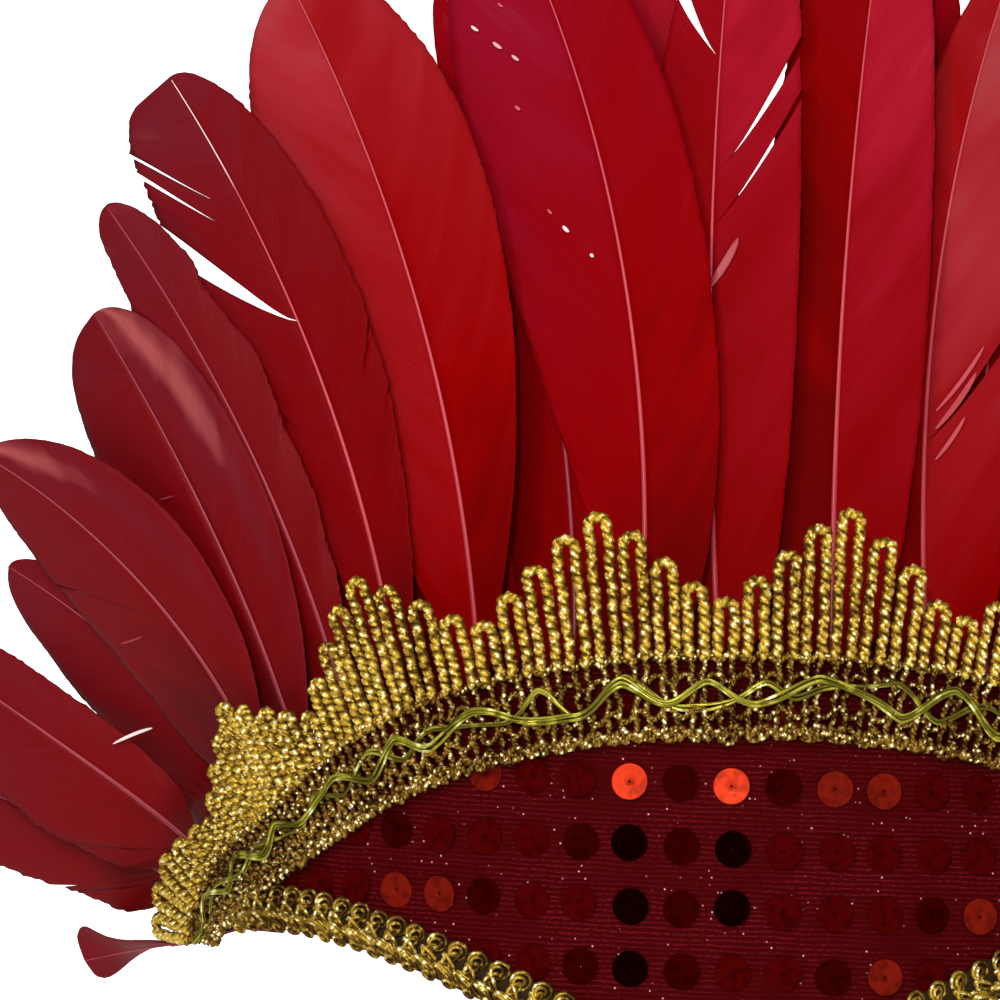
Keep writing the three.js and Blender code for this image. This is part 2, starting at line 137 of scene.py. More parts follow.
@dataclass
class Surface:
    """Points and faces of a piece in the making, in millimetres."""
    points: list[Array] = field(default_factory=list)
    faces: list[Array] = field(default_factory=list)
    uv: list[Array] = field(default_factory=list)
    tone: list[Array] = field(default_factory=list)
    size: int = 0

    def add(self, points: Array, faces: list[Array], uv: Array | None = None,
            tone: Array | float = 0.0) -> None:
        """Adds a patch.

        Args:
            points: its points, any shape that ends in 3.
            faces: index arrays, one row per face, counted from the patch's first point.
            uv: a pair per point.
            tone: one number per point, which a finish may read.
        """
        points = points.reshape(-1, 3)
        self.points.append(points)
        self.faces.extend(f + self.size for f in faces if len(f))
        self.uv.append(np.zeros((len(points), 2)) if uv is None else uv.reshape(-1, 2))
        self.tone.append(np.broadcast_to(np.asarray(tone, float).reshape(-1), (len(points),)))
        self.size += len(points)

    def piece(self, name: str, finish: "Finish",
              replaced: tuple[str, ...] = ()) -> bpy.types.Object:
        """Writes the mesh, dresses it and makes it ride with the headdress.

        Args:
            name: the piece's name.
            finish: what it is made of.
            replaced: solids that it stands for.

        Returns:
            The new object.
        """
        points = np.concatenate(self.points) * MM
        corners = np.concatenate([f.ravel() for f in self.faces])
        widths = np.concatenate([np.full(len(f), f.shape[1]) for f in self.faces])
        mesh = bpy.data.meshes.new(name)
        mesh.vertices.add(len(points))
        mesh.vertices.foreach_set("co", points.ravel().astype(np.float32))
        mesh.loops.add(len(corners))
        mesh.loops.foreach_set("vertex_index", corners.astype(np.int32))
        mesh.polygons.add(len(widths))
        starts = np.cumsum(widths) - widths
        mesh.polygons.foreach_set("loop_start", starts.astype(np.int32))
        mesh.update(calc_edges=True)
        mesh.polygons.foreach_set("use_smooth", np.ones(len(widths), bool))
        layer = mesh.uv_layers.new(name="UVMap")
        layer.data.foreach_set("uv", np.concatenate(self.uv)[corners].ravel().astype(np.float32))
        shade = mesh.attributes.new("tone", "FLOAT", "POINT")
        shade.data.foreach_set("value", np.concatenate(self.tone).astype(np.float32))
        mesh.materials.append(finish.material())
        made = bpy.data.objects.new(name, mesh)
        bpy.context.scene.collection.objects.link(made)
        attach(made, "root")
        if replaced:
            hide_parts(*replaced)
        LOG.info("%s: %d faces", name, len(widths))
        return made


def sweep(surface: Surface, paths: Array, normals: Array, wide: Array | float, high: Array | float,
          sides: int = 6, closed: bool = False, tone: Array | float = 0.0) -> None:
    """Carries an oval section along paths.

    P(s, a) = C(s) + wide cos(a) S(s) + high sin(a) N(s), with S = T x N for the tangent T.

    Args:
        surface: where the tubes are added.
        paths: middle lines, shape (tubes, stations, 3).
        normals: a direction across each path, same shape.
        wide: half width along S, per station or one for all.
        high: half height along N.
        sides: corners of the section.
        closed: whether each path joins up with its start.
        tone: one number per station or one for all.
    """
    tubes, stations = paths.shape[:2]
    ahead = (np.roll(paths, -1, 1) - np.roll(paths, 1, 1)) if closed else np.gradient(paths, axis=1)
    ahead = unit(ahead)
    side = unit(np.cross(ahead, normals))
    lift = np.cross(side, ahead)
    angle = np.arange(sides) * TURN / sides
    wide = np.broadcast_to(np.asarray(wide, float), (tubes, stations))[..., None, None]
    high = np.broadcast_to(np.asarray(high, float), (tubes, stations))[..., None, None]
    points = (paths[:, :, None] + wide * np.cos(angle)[:, None] * side[:, :, None]
              + high * np.sin(angle)[:, None] * lift[:, :, None])
    index = np.arange(tubes * stations * sides).reshape(tubes, stations, sides)
    after = np.roll(index, -1, 1) if closed else index[:, 1:]
    here = index if closed else index[:, :-1]
    quads = np.stack([here, after, np.roll(after, -1, 2), np.roll(here, -1, 2)], -1).reshape(-1, 4)
    caps = [] if closed else [index[:, 0], index[:, -1, ::-1]]
    uv = np.stack(np.broadcast_arrays(run_length(paths)[..., None], angle / TURN), -1)
    tones = np.broadcast_to(np.asarray(tone, float), (tubes, stations))[..., None]
    surface.add(points, [quads, *caps], uv, np.broadcast_to(tones, (tubes, stations, sides)))


def shell(surface: Surface, front: Array, back: Array, filled: Array, flip: bool, uv: Array,
          tone: Array) -> None:
    """A sheet with two faces, and a rim around every edge and gap of its cells.

    Args:
        surface: where it is added.
        front: points of the face that looks along d(row) x d(column), shape (rows, columns, 3).
        back: points of the other face.
        filled: which cells are cloth, shape (rows - 1, columns - 1).
        flip: whether the rows and columns run the other way round.
        uv: a pair per point of the grid.
        tone: one number per point of the grid.
    """
    rows, columns = front.shape[:2]
    ids = np.arange(rows * columns).reshape(rows, columns)
    a, b, c, d = ids[:-1, :-1], ids[1:, :-1], ids[1:, 1:], ids[:-1, 1:]
    cells = np.stack([a, b, c, d], -1)
    faces = [cells[filled], (cells + rows * columns)[filled][:, ::-1]]
    padded = np.pad(filled, 1)
    for start, end, beyond in ((d, a, padded[:-2, 1:-1]), (a, b, padded[1:-1, :-2]),
                               (b, c, padded[2:, 1:-1]), (c, d, padded[1:-1, 2:])):
        rim = filled & ~beyond
        start, end = start[rim], end[rim]
        faces.append(np.stack([end, start, start + rows * columns, end + rows * columns], -1))
    if flip:
        faces = [f[:, ::-1] for f in faces]
    surface.add(np.concatenate([front.reshape(-1, 3), back.reshape(-1, 3)]), faces,
                np.concatenate([uv.reshape(-1, 2)] * 2), np.concatenate([tone.ravel()] * 2))


# Finishes

class Nodes:
    """A material's shader and the nodes that feed it."""

    def __init__(self, name: str, **sockets: float | Colour) -> None:
        """Makes a material and sets the shader's own sockets.

        Args:
            name: the material's name.
            sockets: values by socket, with _ for a space.
        """
        self.material = bpy.data.materials.new(name)
        self.material.use_nodes = True
        self.tree = self.material.node_tree
        self.shader = self.tree.nodes["Principled BSDF"]
        for socket, value in sockets.items():
            value = (*value, 1.0) if isinstance(value, tuple) else value
            self.shader.inputs[socket.replace("_", " ")].default_value = value

    def add(self, kind: str, inputs: dict[int | str, Feed] | None = None,
            **options: str) -> bpy.types.Node:
        """Adds a node.

        Args:
            kind: the node's type after ShaderNode.
            inputs: values or sockets for its inputs, by name or number.
            options: its own properties.

        Returns:
            The node.
        """
        node = self.tree.nodes.new("ShaderNode" + kind)
        for key, value in options.items():
            setattr(node, key, value)
        for key, value in (inputs or {}).items():
            self.feed(node.inputs[key], value)
        return node

    def feed(self, socket: bpy.types.NodeSocket, value: Feed) -> None:
        """Links a socket or sets its value.

        Args:
            socket: the input.
            value: an output to link to it, or its value.
        """
        if isinstance(value, bpy.types.NodeSocket):
            self.tree.links.new(value, socket)
        else:
            socket.default_value = value

    def place(self, source: str, scale: tuple[float, float, float]) -> bpy.types.NodeSocket:
        """Coordinates of a kind, Object or UV, stretched by scale."""
        at = self.add("TexCoord").outputs[source]
        return self.add("Mapping", {"Vector": at, "Scale": scale}).outputs[0]

    def noise(self, at: bpy.types.NodeSocket, scale: float, detail: float = 2.0) -> bpy.types.NodeSocket:
        """Noise between 0 and 1."""
        return self.add("TexNoise", {"Vector": at, "Scale": scale, "Detail": detail}).outputs["Fac"]

    def ramp(self, value: bpy.types.NodeSocket, stops: list[tuple[float, Colour]]) -> bpy.types.NodeSocket:
        """A colour that runs through stops.

        Args:
            value: where on the run to read it.
            stops: a place and a colour for each stop.

        Returns:
            The colour.
        """
        node = self.add("ValToRGB", {"Fac": value})
        ramp = node.color_ramp
        while len(ramp.elements) < len(stops):
            ramp.elements.new(0.5)
        for element, (place, colour) in zip(ramp.elements, stops):
            element.position = place
            element.color = (*colour, 1.0)
        return node.outputs["Color"]

    def math(self, operation: str, *values: Feed) -> bpy.types.NodeSocket:
        """One step of arithmetic."""
        return self.add("Math", dict(enumerate(values)), operation=operation).outputs[0]

    def mix(self, share: Feed, first: Feed, second: Feed) -> bpy.types.NodeSocket:
        """Mixes two colours.

        Args:
            share: how much of the second colour.
            first: a colour or a socket.
            second: a colour or a socket.

        Returns:
            The mixed colour.
        """
        node = self.add("Mix", data_type="RGBA")
        self.feed(node.inputs[0], share)
        for socket, value in ((node.inputs[6], first), (node.inputs[7], second)):
            self.feed(socket, (*value, 1.0) if isinstance(value, tuple) else value)
        return node.outputs[2]

    def bump(self, height: bpy.types.NodeSocket, depth_mm: float, strength: float = 1.0) -> None:
        """Relief of a depth in millimetres."""
        node = self.add("Bump", {"Height": height, "Distance": depth_mm * MM, "Strength": strength})
        self.feed(self.shader.inputs["Normal"], node.outputs[0])

    def colour(self, value: bpy.types.NodeSocket) -> None:
        """Links the shader's colour."""
        self.feed(self.shader.inputs["Base Color"], value)

    def within(self, value: bpy.types.NodeSocket, low: float, high: float) -> bpy.types.NodeSocket:
        """Maps low to 0 and high to 1, and keeps what is outside at the ends."""
        return self.add("MapRange", {"Value": value, "From Min": low, "From Max": high}).outputs[0]

    def around(self, value: bpy.types.NodeSocket, swing: float, base: Feed) -> bpy.types.NodeSocket:
        """Base plus a swing to both sides, from a value between 0 and 1."""
        return self.math("MULTIPLY_ADD", self.math("SUBTRACT", value, 0.5), swing, base)

    def tone(self) -> bpy.types.NodeSocket:
        """The mesh's tone."""
        return self.add("Attribute", attribute_name="tone").outputs["Fac"]


@dataclass(frozen=True)
class Finish:
    """What a piece is made of. A finish makes its material once."""
    name: str

    def material(self) -> bpy.types.Material:
        """The finish's material."""
        return bpy.data.materials.get(self.name) or self.make()

    def make(self) -> bpy.types.Material:
        """Builds the nodes and returns the material."""
        raise NotImplementedError


@dataclass(frozen=True)
class DyedVane(Finish):
    """A dyed vane. Its colour runs from painted shade near its foot to painted light towards its tip, and
    streaks follow its barbs.

    The UV map is (millimetres along the shaft where the barb starts, share of the way out), and tone
    is the share of the way from the vane's foot to its tip.
    """
    # The first two colours are painted shade and painted light of one dye.
    shaded_dye: Colour
    lit: Colour
    # band: a painted highlight colour at the top of the run.
    band: Colour = (0.30, 0.055, 0.055)
    streak: float = 0.3
    gloss: float = 0.02
    roughness: float = 0.55
    barb_scale: float = 2.2
    patch_scale: float = 38.0

    def make(self) -> bpy.types.Material:
        """Streaks along the barbs over a run from painted shade to painted light, with a painted highlight
        band at its end.

        Returns:
            The material.
        """
        nodes = Nodes(self.name, Roughness=self.roughness, Specular_IOR_Level=self.gloss,
                      Specular_Tint=(1.0, 0.5, 0.5))
        fine = nodes.noise(nodes.place("UV", (1.0, 0.9, 1.0)), self.barb_scale, 3.0)
        broad = nodes.noise(nodes.place("UV", (0.09, 0.8, 1.0)), 1.0)
        patch = nodes.noise(nodes.place("Object", (1.0, 1.0, 0.6)), self.patch_scale)
        share = nodes.around(patch, 0.5, nodes.around(broad, 0.6, nodes.tone()))
        # dark: a deeper painted shade at the very foot of the vane.
        dark = tuple(0.6 * c for c in self.shaded_dye)
        between = tuple(0.7 * a + 0.3 * b for a, b in zip(self.shaded_dye, self.lit))
        ground = nodes.ramp(nodes.math("MULTIPLY", share, 0.7), [
            (0.0, dark), (0.2, self.shaded_dye), (0.48, between), (0.70, self.lit), (1.0, self.band)])
        pale = tuple(min(1.0, 1.3 * c + 0.01) for c in self.lit)
        lines = nodes.math("MULTIPLY", nodes.within(fine, 0.56, 0.8), self.streak)
        lines = nodes.math("MULTIPLY", lines, nodes.within(share, 0.1, 0.8))
        nodes.colour(nodes.mix(lines, ground, pale))
        nodes.bump(fine, 0.08, 0.5)
        return nodes.material


@dataclass(frozen=True)
class Quill(Finish):
    """The horny shaft: dyed, paler than the vane, and almost white where its tone is 1, as on a painted
    shaft highlight and on pale flecks.
    """
    foot: Colour
    tip: Colour
    white: Colour = (0.80, 0.62, 0.60)
    stain_scale: float = 160.0

    def make(self) -> bpy.types.Material:
        """A run of colour along the shaft with faint stains.

        Returns:
            The material.
        """
        nodes = Nodes(self.name, Roughness=0.35, Specular_IOR_Level=0.3)
        stain = nodes.noise(nodes.place("Object", (1.0, 1.0, 0.3)), self.stain_scale, 3.0)
        nodes.colour(nodes.ramp(nodes.around(stain, 0.2, nodes.tone()), [
            (0.0, self.foot), (0.3, self.tip), (0.8, self.tip), (1.0, self.white)]))
        nodes.bump(stain, 0.05, 0.3)
        return nodes.material


@dataclass(frozen=True)
class MetallicThread(Finish):
    """Gold thread: metal foil wound round a core, with painted glints on small spots and painted shadow
    where the plies turn away.
    """
    shadow: Colour
    middle: Colour
    glint: Colour
    grain: float
    crest: float
    patch_scale: float = 90.0

    def make(self) -> bpy.types.Material:
        """Painted glints on small spots, most of them where the tone says that a ply comes to the front,
        and painted shadow where it does not.

        Returns:
            The material.
        """
        nodes = Nodes(self.name, Metallic=0.5, Roughness=0.30, Specular_IOR_Level=0.2,
                      Specular_Tint=(1.0, 0.8, 0.4))
        at = nodes.place("Object", (1.0, 1.0, 1.0))
        cells = nodes.add("TexVoronoi", {"Vector": at, "Scale": self.grain})
        bead_glint = nodes.within(cells.outputs["Distance"], 0.52, 0.20)
        rise = nodes.tone()
        # The tone marks where a ply faces the front: it takes the painted glints and a lighter colour;
        # elsewhere painted shadow.
        lit = nodes.math("MULTIPLY", bead_glint, nodes.math("MULTIPLY_ADD", rise, self.crest, 0.2))
        share = nodes.math("MULTIPLY_ADD", nodes.noise(at, self.patch_scale), 0.4, lit)
        share = nodes.math("MULTIPLY_ADD", rise, 0.22, share)
        nodes.colour(nodes.ramp(share, [(0.0, self.shadow), (0.22, self.shadow), (0.45, self.middle),
                                        (0.66, self.middle), (0.90, self.glint)]))
        nodes.bump(bead_glint, 0.16, 0.7)
        return nodes.material


@dataclass(frozen=True)
class LurexCloth(Finish):
    """Burgundy cloth with a metallic thread in every second pick. The UV map is in millimetres."""
    ground: Colour = (0.043, 0.0004, 0.0006)
    thread: Colour = (0.150, 0.006, 0.012)
    # point: the colour of painted glints on the metallic thread.
    point: Colour = (0.75, 0.35, 0.36)
    pick: float = 0.8
    glint_scale: float = 0.95

    def make(self) -> bpy.types.Material:
        """Broken lines across the cloth and a few bright points.

        Returns:
            Broken lines across the cloth and a few painted glints.
        """
        nodes = Nodes(self.name, Roughness=0.7, Specular_IOR_Level=0.015)
        cloth = nodes.place("UV", (1.0, 1.0, 1.0))
        across = nodes.add("SeparateXYZ", {"Vector": cloth}).outputs["Y"]
        wobble = nodes.noise(nodes.place("UV", (0.12, 0.4, 1.0)), 1.0)
        row = nodes.math("MULTIPLY_ADD", wobble, 0.9, across)
        line = nodes.math("SINE", nodes.math("MULTIPLY", row, TURN / self.pick))
        broken = nodes.noise(nodes.place("UV", (1.4, 5.0, 1.0)), 1.0, 3.0)
        area = nodes.noise(nodes.place("UV", (0.05, 0.09, 1.0)), 1.0)
        shown = nodes.math("MULTIPLY", nodes.within(broken, 0.4, 0.62), nodes.within(area, 0.3, 0.6))
        lines = nodes.math("MULTIPLY", nodes.within(line, 0.0, 0.9), shown)
        woven = nodes.mix(lines, self.ground, self.thread)
        # A few small painted glints where the metallic thread catches the light.
        points = nodes.add("TexVoronoi", {"Vector": cloth, "Scale": self.glint_scale})
        near = nodes.within(points.outputs["Distance"], 0.17, 0.08)
        rare = nodes.add("SeparateColor", {"Color": points.outputs["Color"]}).outputs[1]
        spark = nodes.math("MULTIPLY", near, nodes.within(rare, 0.70, 0.85))
        nodes.colour(nodes.mix(spark, woven, self.point))
        nodes.feed(nodes.shader.inputs["Metallic"], nodes.math("MULTIPLY", lines, 0.25))
        relief = nodes.math("ADD", nodes.math("MULTIPLY", line, 0.5), broken)
        nodes.bump(relief, 0.10, 0.8)
        return nodes.material


@dataclass(frozen=True)
class Foil(Finish):
    """A sequin's foil, with fine dents."""
    colour: Colour
    metallic: float
    roughness: float
    dent_scale: float = 620.0

    def make(self) -> bpy.types.Material:
        """Dented foil with worn patches.

        Returns:
            The material.
        """
        nodes = Nodes(self.name, Metallic=self.metallic, Roughness=self.roughness,
                      Specular_IOR_Level=0.3 * self.metallic)
        dents = nodes.noise(nodes.place("Object", (1.0, 1.0, 1.0)), self.dent_scale)
        worn = tuple(0.62 * c for c in self.colour)
        nodes.colour(nodes.ramp(dents, [(0.35, worn), (0.55, self.colour), (0.8, self.colour)]))
        nodes.bump(dents, 0.12, 0.5)
        return nodes.material


@dataclass(frozen=True)
class Woven(Finish):
    """Plain woven or felted cloth. The UV map is in millimetres."""
    colour: Colour
    pitch: float
    lint_scale: float = 900.0

    def make(self) -> bpy.types.Material:
        """A plain weave from two waves at right angles.

        Returns:
            The material.
        """
        nodes = Nodes(self.name, Roughness=0.85, Specular_IOR_Level=0.15)
        rate = TURN / self.pitch
        threads = nodes.add("SeparateXYZ", {"Vector": nodes.place("UV", (rate, rate, 1.0))}).outputs
        weave = nodes.math("MULTIPLY", nodes.math("SINE", threads["X"]), nodes.math("SINE", threads["Y"]))
        lint = nodes.noise(nodes.place("Object", (1.0, 1.0, 1.0)), self.lint_scale, 3.0)
        pale = tuple(min(1.0, 1.6 * c) for c in self.colour)
        share = nodes.math("MULTIPLY_ADD", weave, 0.3, lint)
        nodes.colour(nodes.ramp(share, [(0.2, self.colour), (0.9, pale)]))
        nodes.bump(weave, 0.12, 0.7)
        return nodes.material


@dataclass(frozen=True)
class Ground(Finish):
    """The plain pale floor and backdrop."""
    glow: float

    def make(self) -> bpy.types.Material:
        """White paint that gives off a little light."""
        return Nodes(self.name, Base_Color=(0.95, 0.95, 0.95), Roughness=0.9,
                     Emission_Color=(1.0, 1.0, 1.0), Emission_Strength=self.glow).material


class Dye(Enum):
    """The dyes of the vanes."""
    SCARLET = DyedVane("scarlet_vane", (0.225, 0.0, 0.0002), (0.31, 0.017, 0.024), streak=0.2)
    RED = DyedVane("red_vane", (0.190, 0.0, 0.0002), (0.32, 0.006, 0.018), streak=0.2)
    CRIMSON = DyedVane("crimson_vane", (0.185, 0.0, 0.0004), (0.26, 0.0006, 0.005), streak=0.2)
    WINE = DyedVane("wine_vane", (0.140, 0.0001, 0.0012), (0.125, 0.004, 0.009), streak=0.45, gloss=0.15)
    MAROON = DyedVane("maroon_vane", (0.160, 0.0, 0.0008), (0.125, 0.008, 0.014), streak=0.4, gloss=0.06)
    MAGENTA = DyedVane("magenta_vane", (0.215, 0.0, 0.0006), (0.225, 0.003, 0.015), streak=0.3)


class Sparkle(Enum):
    """How a sequin meets the light."""
    BRIGHT = Foil("sequin_bright", (0.58, 0.032, 0.006), 0.2, 0.35)
    WARM = Foil("sequin_warm", (0.15, 0.005, 0.001), 0.1, 0.5)
    DIM = Foil("sequin_dim", (0.028, 0.0003, 0.0003), 0.0, 0.6)
    FAINT = Foil("sequin_faint", (0.053, 0.0006, 0.0006), 0.0, 0.6)
    DARK = Foil("sequin_dark", (0.0045, 0.0001, 0.0002), 0.0, 0.6)


# Each gold: painted shadow, middle, painted glint, the spot size and the glint weight on crests.
GOLD_CORD = MetallicThread(
    "gold_cord", (0.115, 0.052, 0.006), (0.68, 0.440, 0.052), (1.0, 0.95, 0.54), 1050.0, 0.62)
# The net is the cord's gold thread painted darker, as painted shade of the lace's lower part.
SHADED_GOLD_NET = MetallicThread(
    "shaded_gold_net", (0.036, 0.010, 0.002), (0.26, 0.140, 0.018), (1.0, 0.92, 0.50), 1000.0, 0.68)
GOLD_TINSEL = MetallicThread(
    "gold_tinsel", (0.10, 0.080, 0.006), (0.38, 0.34, 0.036), (0.92, 0.92, 0.42), 420.0, 0.5)
GOLD_WIRE = MetallicThread(
    "gold_wire", (0.060, 0.026, 0.004), (0.46, 0.285, 0.034), (1.0, 0.94, 0.52), 1000.0, 0.60)
LUREX = LurexCloth("lurex_cloth")
FELT = Woven("stiff_felt", (0.07, 0.004, 0.007), 0.5)
SHADED_TAPE = Woven("tape", (0.020, 0.009, 0.002), 0.6)
# The braid's tape is painted very dark brown, as painted shade under its loops.
ELASTIC = Woven("elastic_rib", (0.09, 0.004, 0.008), 1.3)
SHAFT = Quill("quill", (0.32, 0.010, 0.018), (0.50, 0.052, 0.068))
DULL_SHAFT = Quill("dull_quill", (0.20, 0.006, 0.012), (0.30, 0.030, 0.045))


# The band and what is sewn on it

@dataclass
class Band:
    """The cylinder that the panel, the lace and the braid lie on."""
    radius: float = 96.0
    unroll_radius: float = 98.0

    def point(self, along: Array, up: Array, radius: Array | float) -> Array:
        """P = (-r sin a, -r cos a, up), with a = along / unroll radius.

        Args:
            along: distance round the band from its middle, to the photo's left.
            up: height.
            radius: distance from the axis.

        Returns:
            The points, on a new last axis.
        """
        angle = np.asarray(along) / self.unroll_radius
        x, y, z = np.broadcast_arrays(-radius * np.sin(angle), -radius * np.cos(angle), up)
        return np.stack([x, y, z], -1)

    def outward(self, along: Array) -> Array:
        """The direction away from the axis."""
        return self.point(along, 0.0, 1.0)


@dataclass
class ForeheadPanel:
    """Stiff felt in a long leaf shape, covered with lurex cloth and sewn with round sequins."""
    band: Band
    half_length: float = 118.0
    wall: float = 2.4
    cloth: float = 0.5
    stations: int = 220
    lines: int = 64
    felt_step: tuple[int, int] = (3, 9)
    grain_tilt: float = 0.04
    pucker: float = 0.12
    pucker_run: float = 0.21
    pucker_bend: float = 0.6
    pucker_rise: float = 0.13
    sequin_stand: float = 0.36
    sequin_cup: float = 0.06
    sequin_pitch: float = 8.1
    sequin_shift: float = 1.3
    sequin_margins: tuple[float, float] = (3.4, 3.2)
    sequin_rings: tuple[float, ...] = (0.2, 1.2, 2.0, 2.65, 2.85)
    sequin_half: float = 0.06
    row_heights: tuple[float, ...] = (-21.2, -11.5, -1.7, 7.8, 17.6, 27.4)
    # distance from the middle, top edge and bottom edge
    rows: Array = field(default_factory=lambda: np.array([
        [0, 38.6, -32.2], [10, 38.4, -29.4], [24.7, 37.0, -23.2], [43, 33.4, -15.4], [59.3, 27.4, -9.8],
        [75.9, 18.4, -6.5], [92, 8.2, -6.4], [108, -2.4, -8.9], [118, -4.8, -9.8]]))

    def edges(self, along: Array) -> tuple[Array, Array]:
        """Top and bottom of the leaf at a distance from the middle."""
        read = read_table(self.rows, np.abs(along))
        return read[..., 0], read[..., 1]

    def build(self) -> None:
        """Felt, cloth and sequins."""
        along = np.linspace(self.half_length, -self.half_length, self.stations)[:, None]
        share = np.linspace(0.0, 1.0, self.lines)[None, :]
        top, bottom = self.edges(along)
        up = bottom + (top - bottom) * share
        along = np.broadcast_to(along, up.shape)
        waves = np.sin(along * self.pucker_run + self.pucker_bend * np.sin(up * self.pucker_rise))
        cloth_face = self.band.radius + self.pucker * waves * np.sin(np.pi * share)
        uv = np.stack([along, up - self.grain_tilt * along], -1)
        middle = self.band.radius - self.cloth
        filled = np.ones((self.stations - 1, self.lines - 1), bool)
        none = np.zeros(up.shape)

        felt = Surface()
        thin = np.s_[::self.felt_step[0], ::self.felt_step[1]]
        front, back = (self.band.point(along, up, radius)[thin]
                       for radius in (middle - 0.02, self.band.radius - self.wall))
        shell(felt, front, back, filled[thin], False, uv[thin], none[thin])
        felt.piece("panel_felt", FELT, ("forehead_panel",))

        cloth = Surface()
        front, back = (self.band.point(along, up, radius) for radius in (cloth_face, middle))
        shell(cloth, front, back, filled, False, uv, none)
        sheet = cloth.piece("panel_cloth", LUREX)
        self.sequins()

    def sequins(self) -> None:
        """Rows of round sequins, sorted by how they meet the light.

        Those named by row and column shine as in the photo, and the others by chance.
        """
        shown = {Sparkle.BRIGHT: ((4, 2), (4, 0)), Sparkle.WARM: ((4, 5), (4, -2), (4, -3), (2, 6), (2, 7)),
                 Sparkle.DARK: ((3, 2), (3, 0), (2, 2), (2, 0), (1, 2)),
                 Sparkle.DIM: ((3, 1), (2, 5), (1, 1), (2, 1))}
        named = {spot: tone for tone, listed in shown.items() for spot in listed}
        rng = np.random.default_rng(7)
        spots: dict[Sparkle, list] = {tone: [] for tone in Sparkle}
        for row, height in enumerate(self.row_heights):
            for column in range(-14, 15):
                along = self.sequin_shift + column * self.sequin_pitch + rng.normal(0.0, 0.15)
                up = height + self.grain_tilt * along + rng.normal(0.0, 0.12)
                tilts = rng.normal(0.0, 0.07, 2)
                chance = rng.random()
                top, bottom = self.edges(np.array(along))
                if not bottom + self.sequin_margins[0] < up < top - self.sequin_margins[1]:
                    continue
                usual = Sparkle.WARM if chance > 0.93 else Sparkle.DIM if chance < 0.3 else Sparkle.FAINT
                spots[named.get((row, column), usual)].append((along, up, *tilts))
        for tone, placed in spots.items():
            self.discs(tone.value, np.array(placed))

    def discs(self, finish: Foil, place: Array) -> None:
        """Sequins of one finish, each a shallow cup with a hole.

        A sequin is P(r, a) = centre + r (cos a u + sin a v) + cup (r / R)^2 n on its own tilted axes.

        Args:
            finish: the foil.
            place: one row per sequin: along, up and two small tilts.
        """
        radii = np.array(self.sequin_rings)
        angle = np.arange(24) * TURN / 24
        normal = self.band.outward(place[:, 0])
        across = np.cross([0.0, 0.0, 1.0], normal)
        face = unit(normal + place[:, 2:3] * across + place[:, 3:4] * np.cross(normal, across))
        across = unit(np.cross([0.0, 0.0, 1.0], face))
        upward = np.cross(face, across)
        centre = self.band.point(place[:, 0], place[:, 1], self.band.radius + self.sequin_stand)
        ring = np.cos(angle)[:, None] * across[:, None] + np.sin(angle)[:, None] * upward[:, None]
        grid = centre[:, None, None] + radii[None, :, None, None] * ring[:, None]
        lift = self.sequin_cup * (radii / radii[-1]) ** 2
        points = np.stack([grid + (lift + half)[:, None, None] * face[:, None, None]
                           for half in (self.sequin_half, -self.sequin_half)], 1)
        ids = np.arange(points.size // 3).reshape(points.shape[:-1])
        after = np.roll(ids, -1, 3)
        top = np.stack([ids[:, 0, :-1], ids[:, 0, 1:], after[:, 0, 1:], after[:, 0, :-1]], -1)
        under = np.stack([ids[:, 1, :-1], after[:, 1, :-1], after[:, 1, 1:], ids[:, 1, 1:]], -1)
        rim = np.stack([ids[:, 0, -1], ids[:, 1, -1], after[:, 1, -1], after[:, 0, -1]], -1)
        hole = np.stack([ids[:, 0, 0], after[:, 0, 0], after[:, 1, 0], ids[:, 1, 0]], -1)
        disc = Surface()
        disc.add(points, [quads.reshape(-1, 4) for quads in (top, under, rim, hole)])
        disc.piece(finish.name + "s", finish)


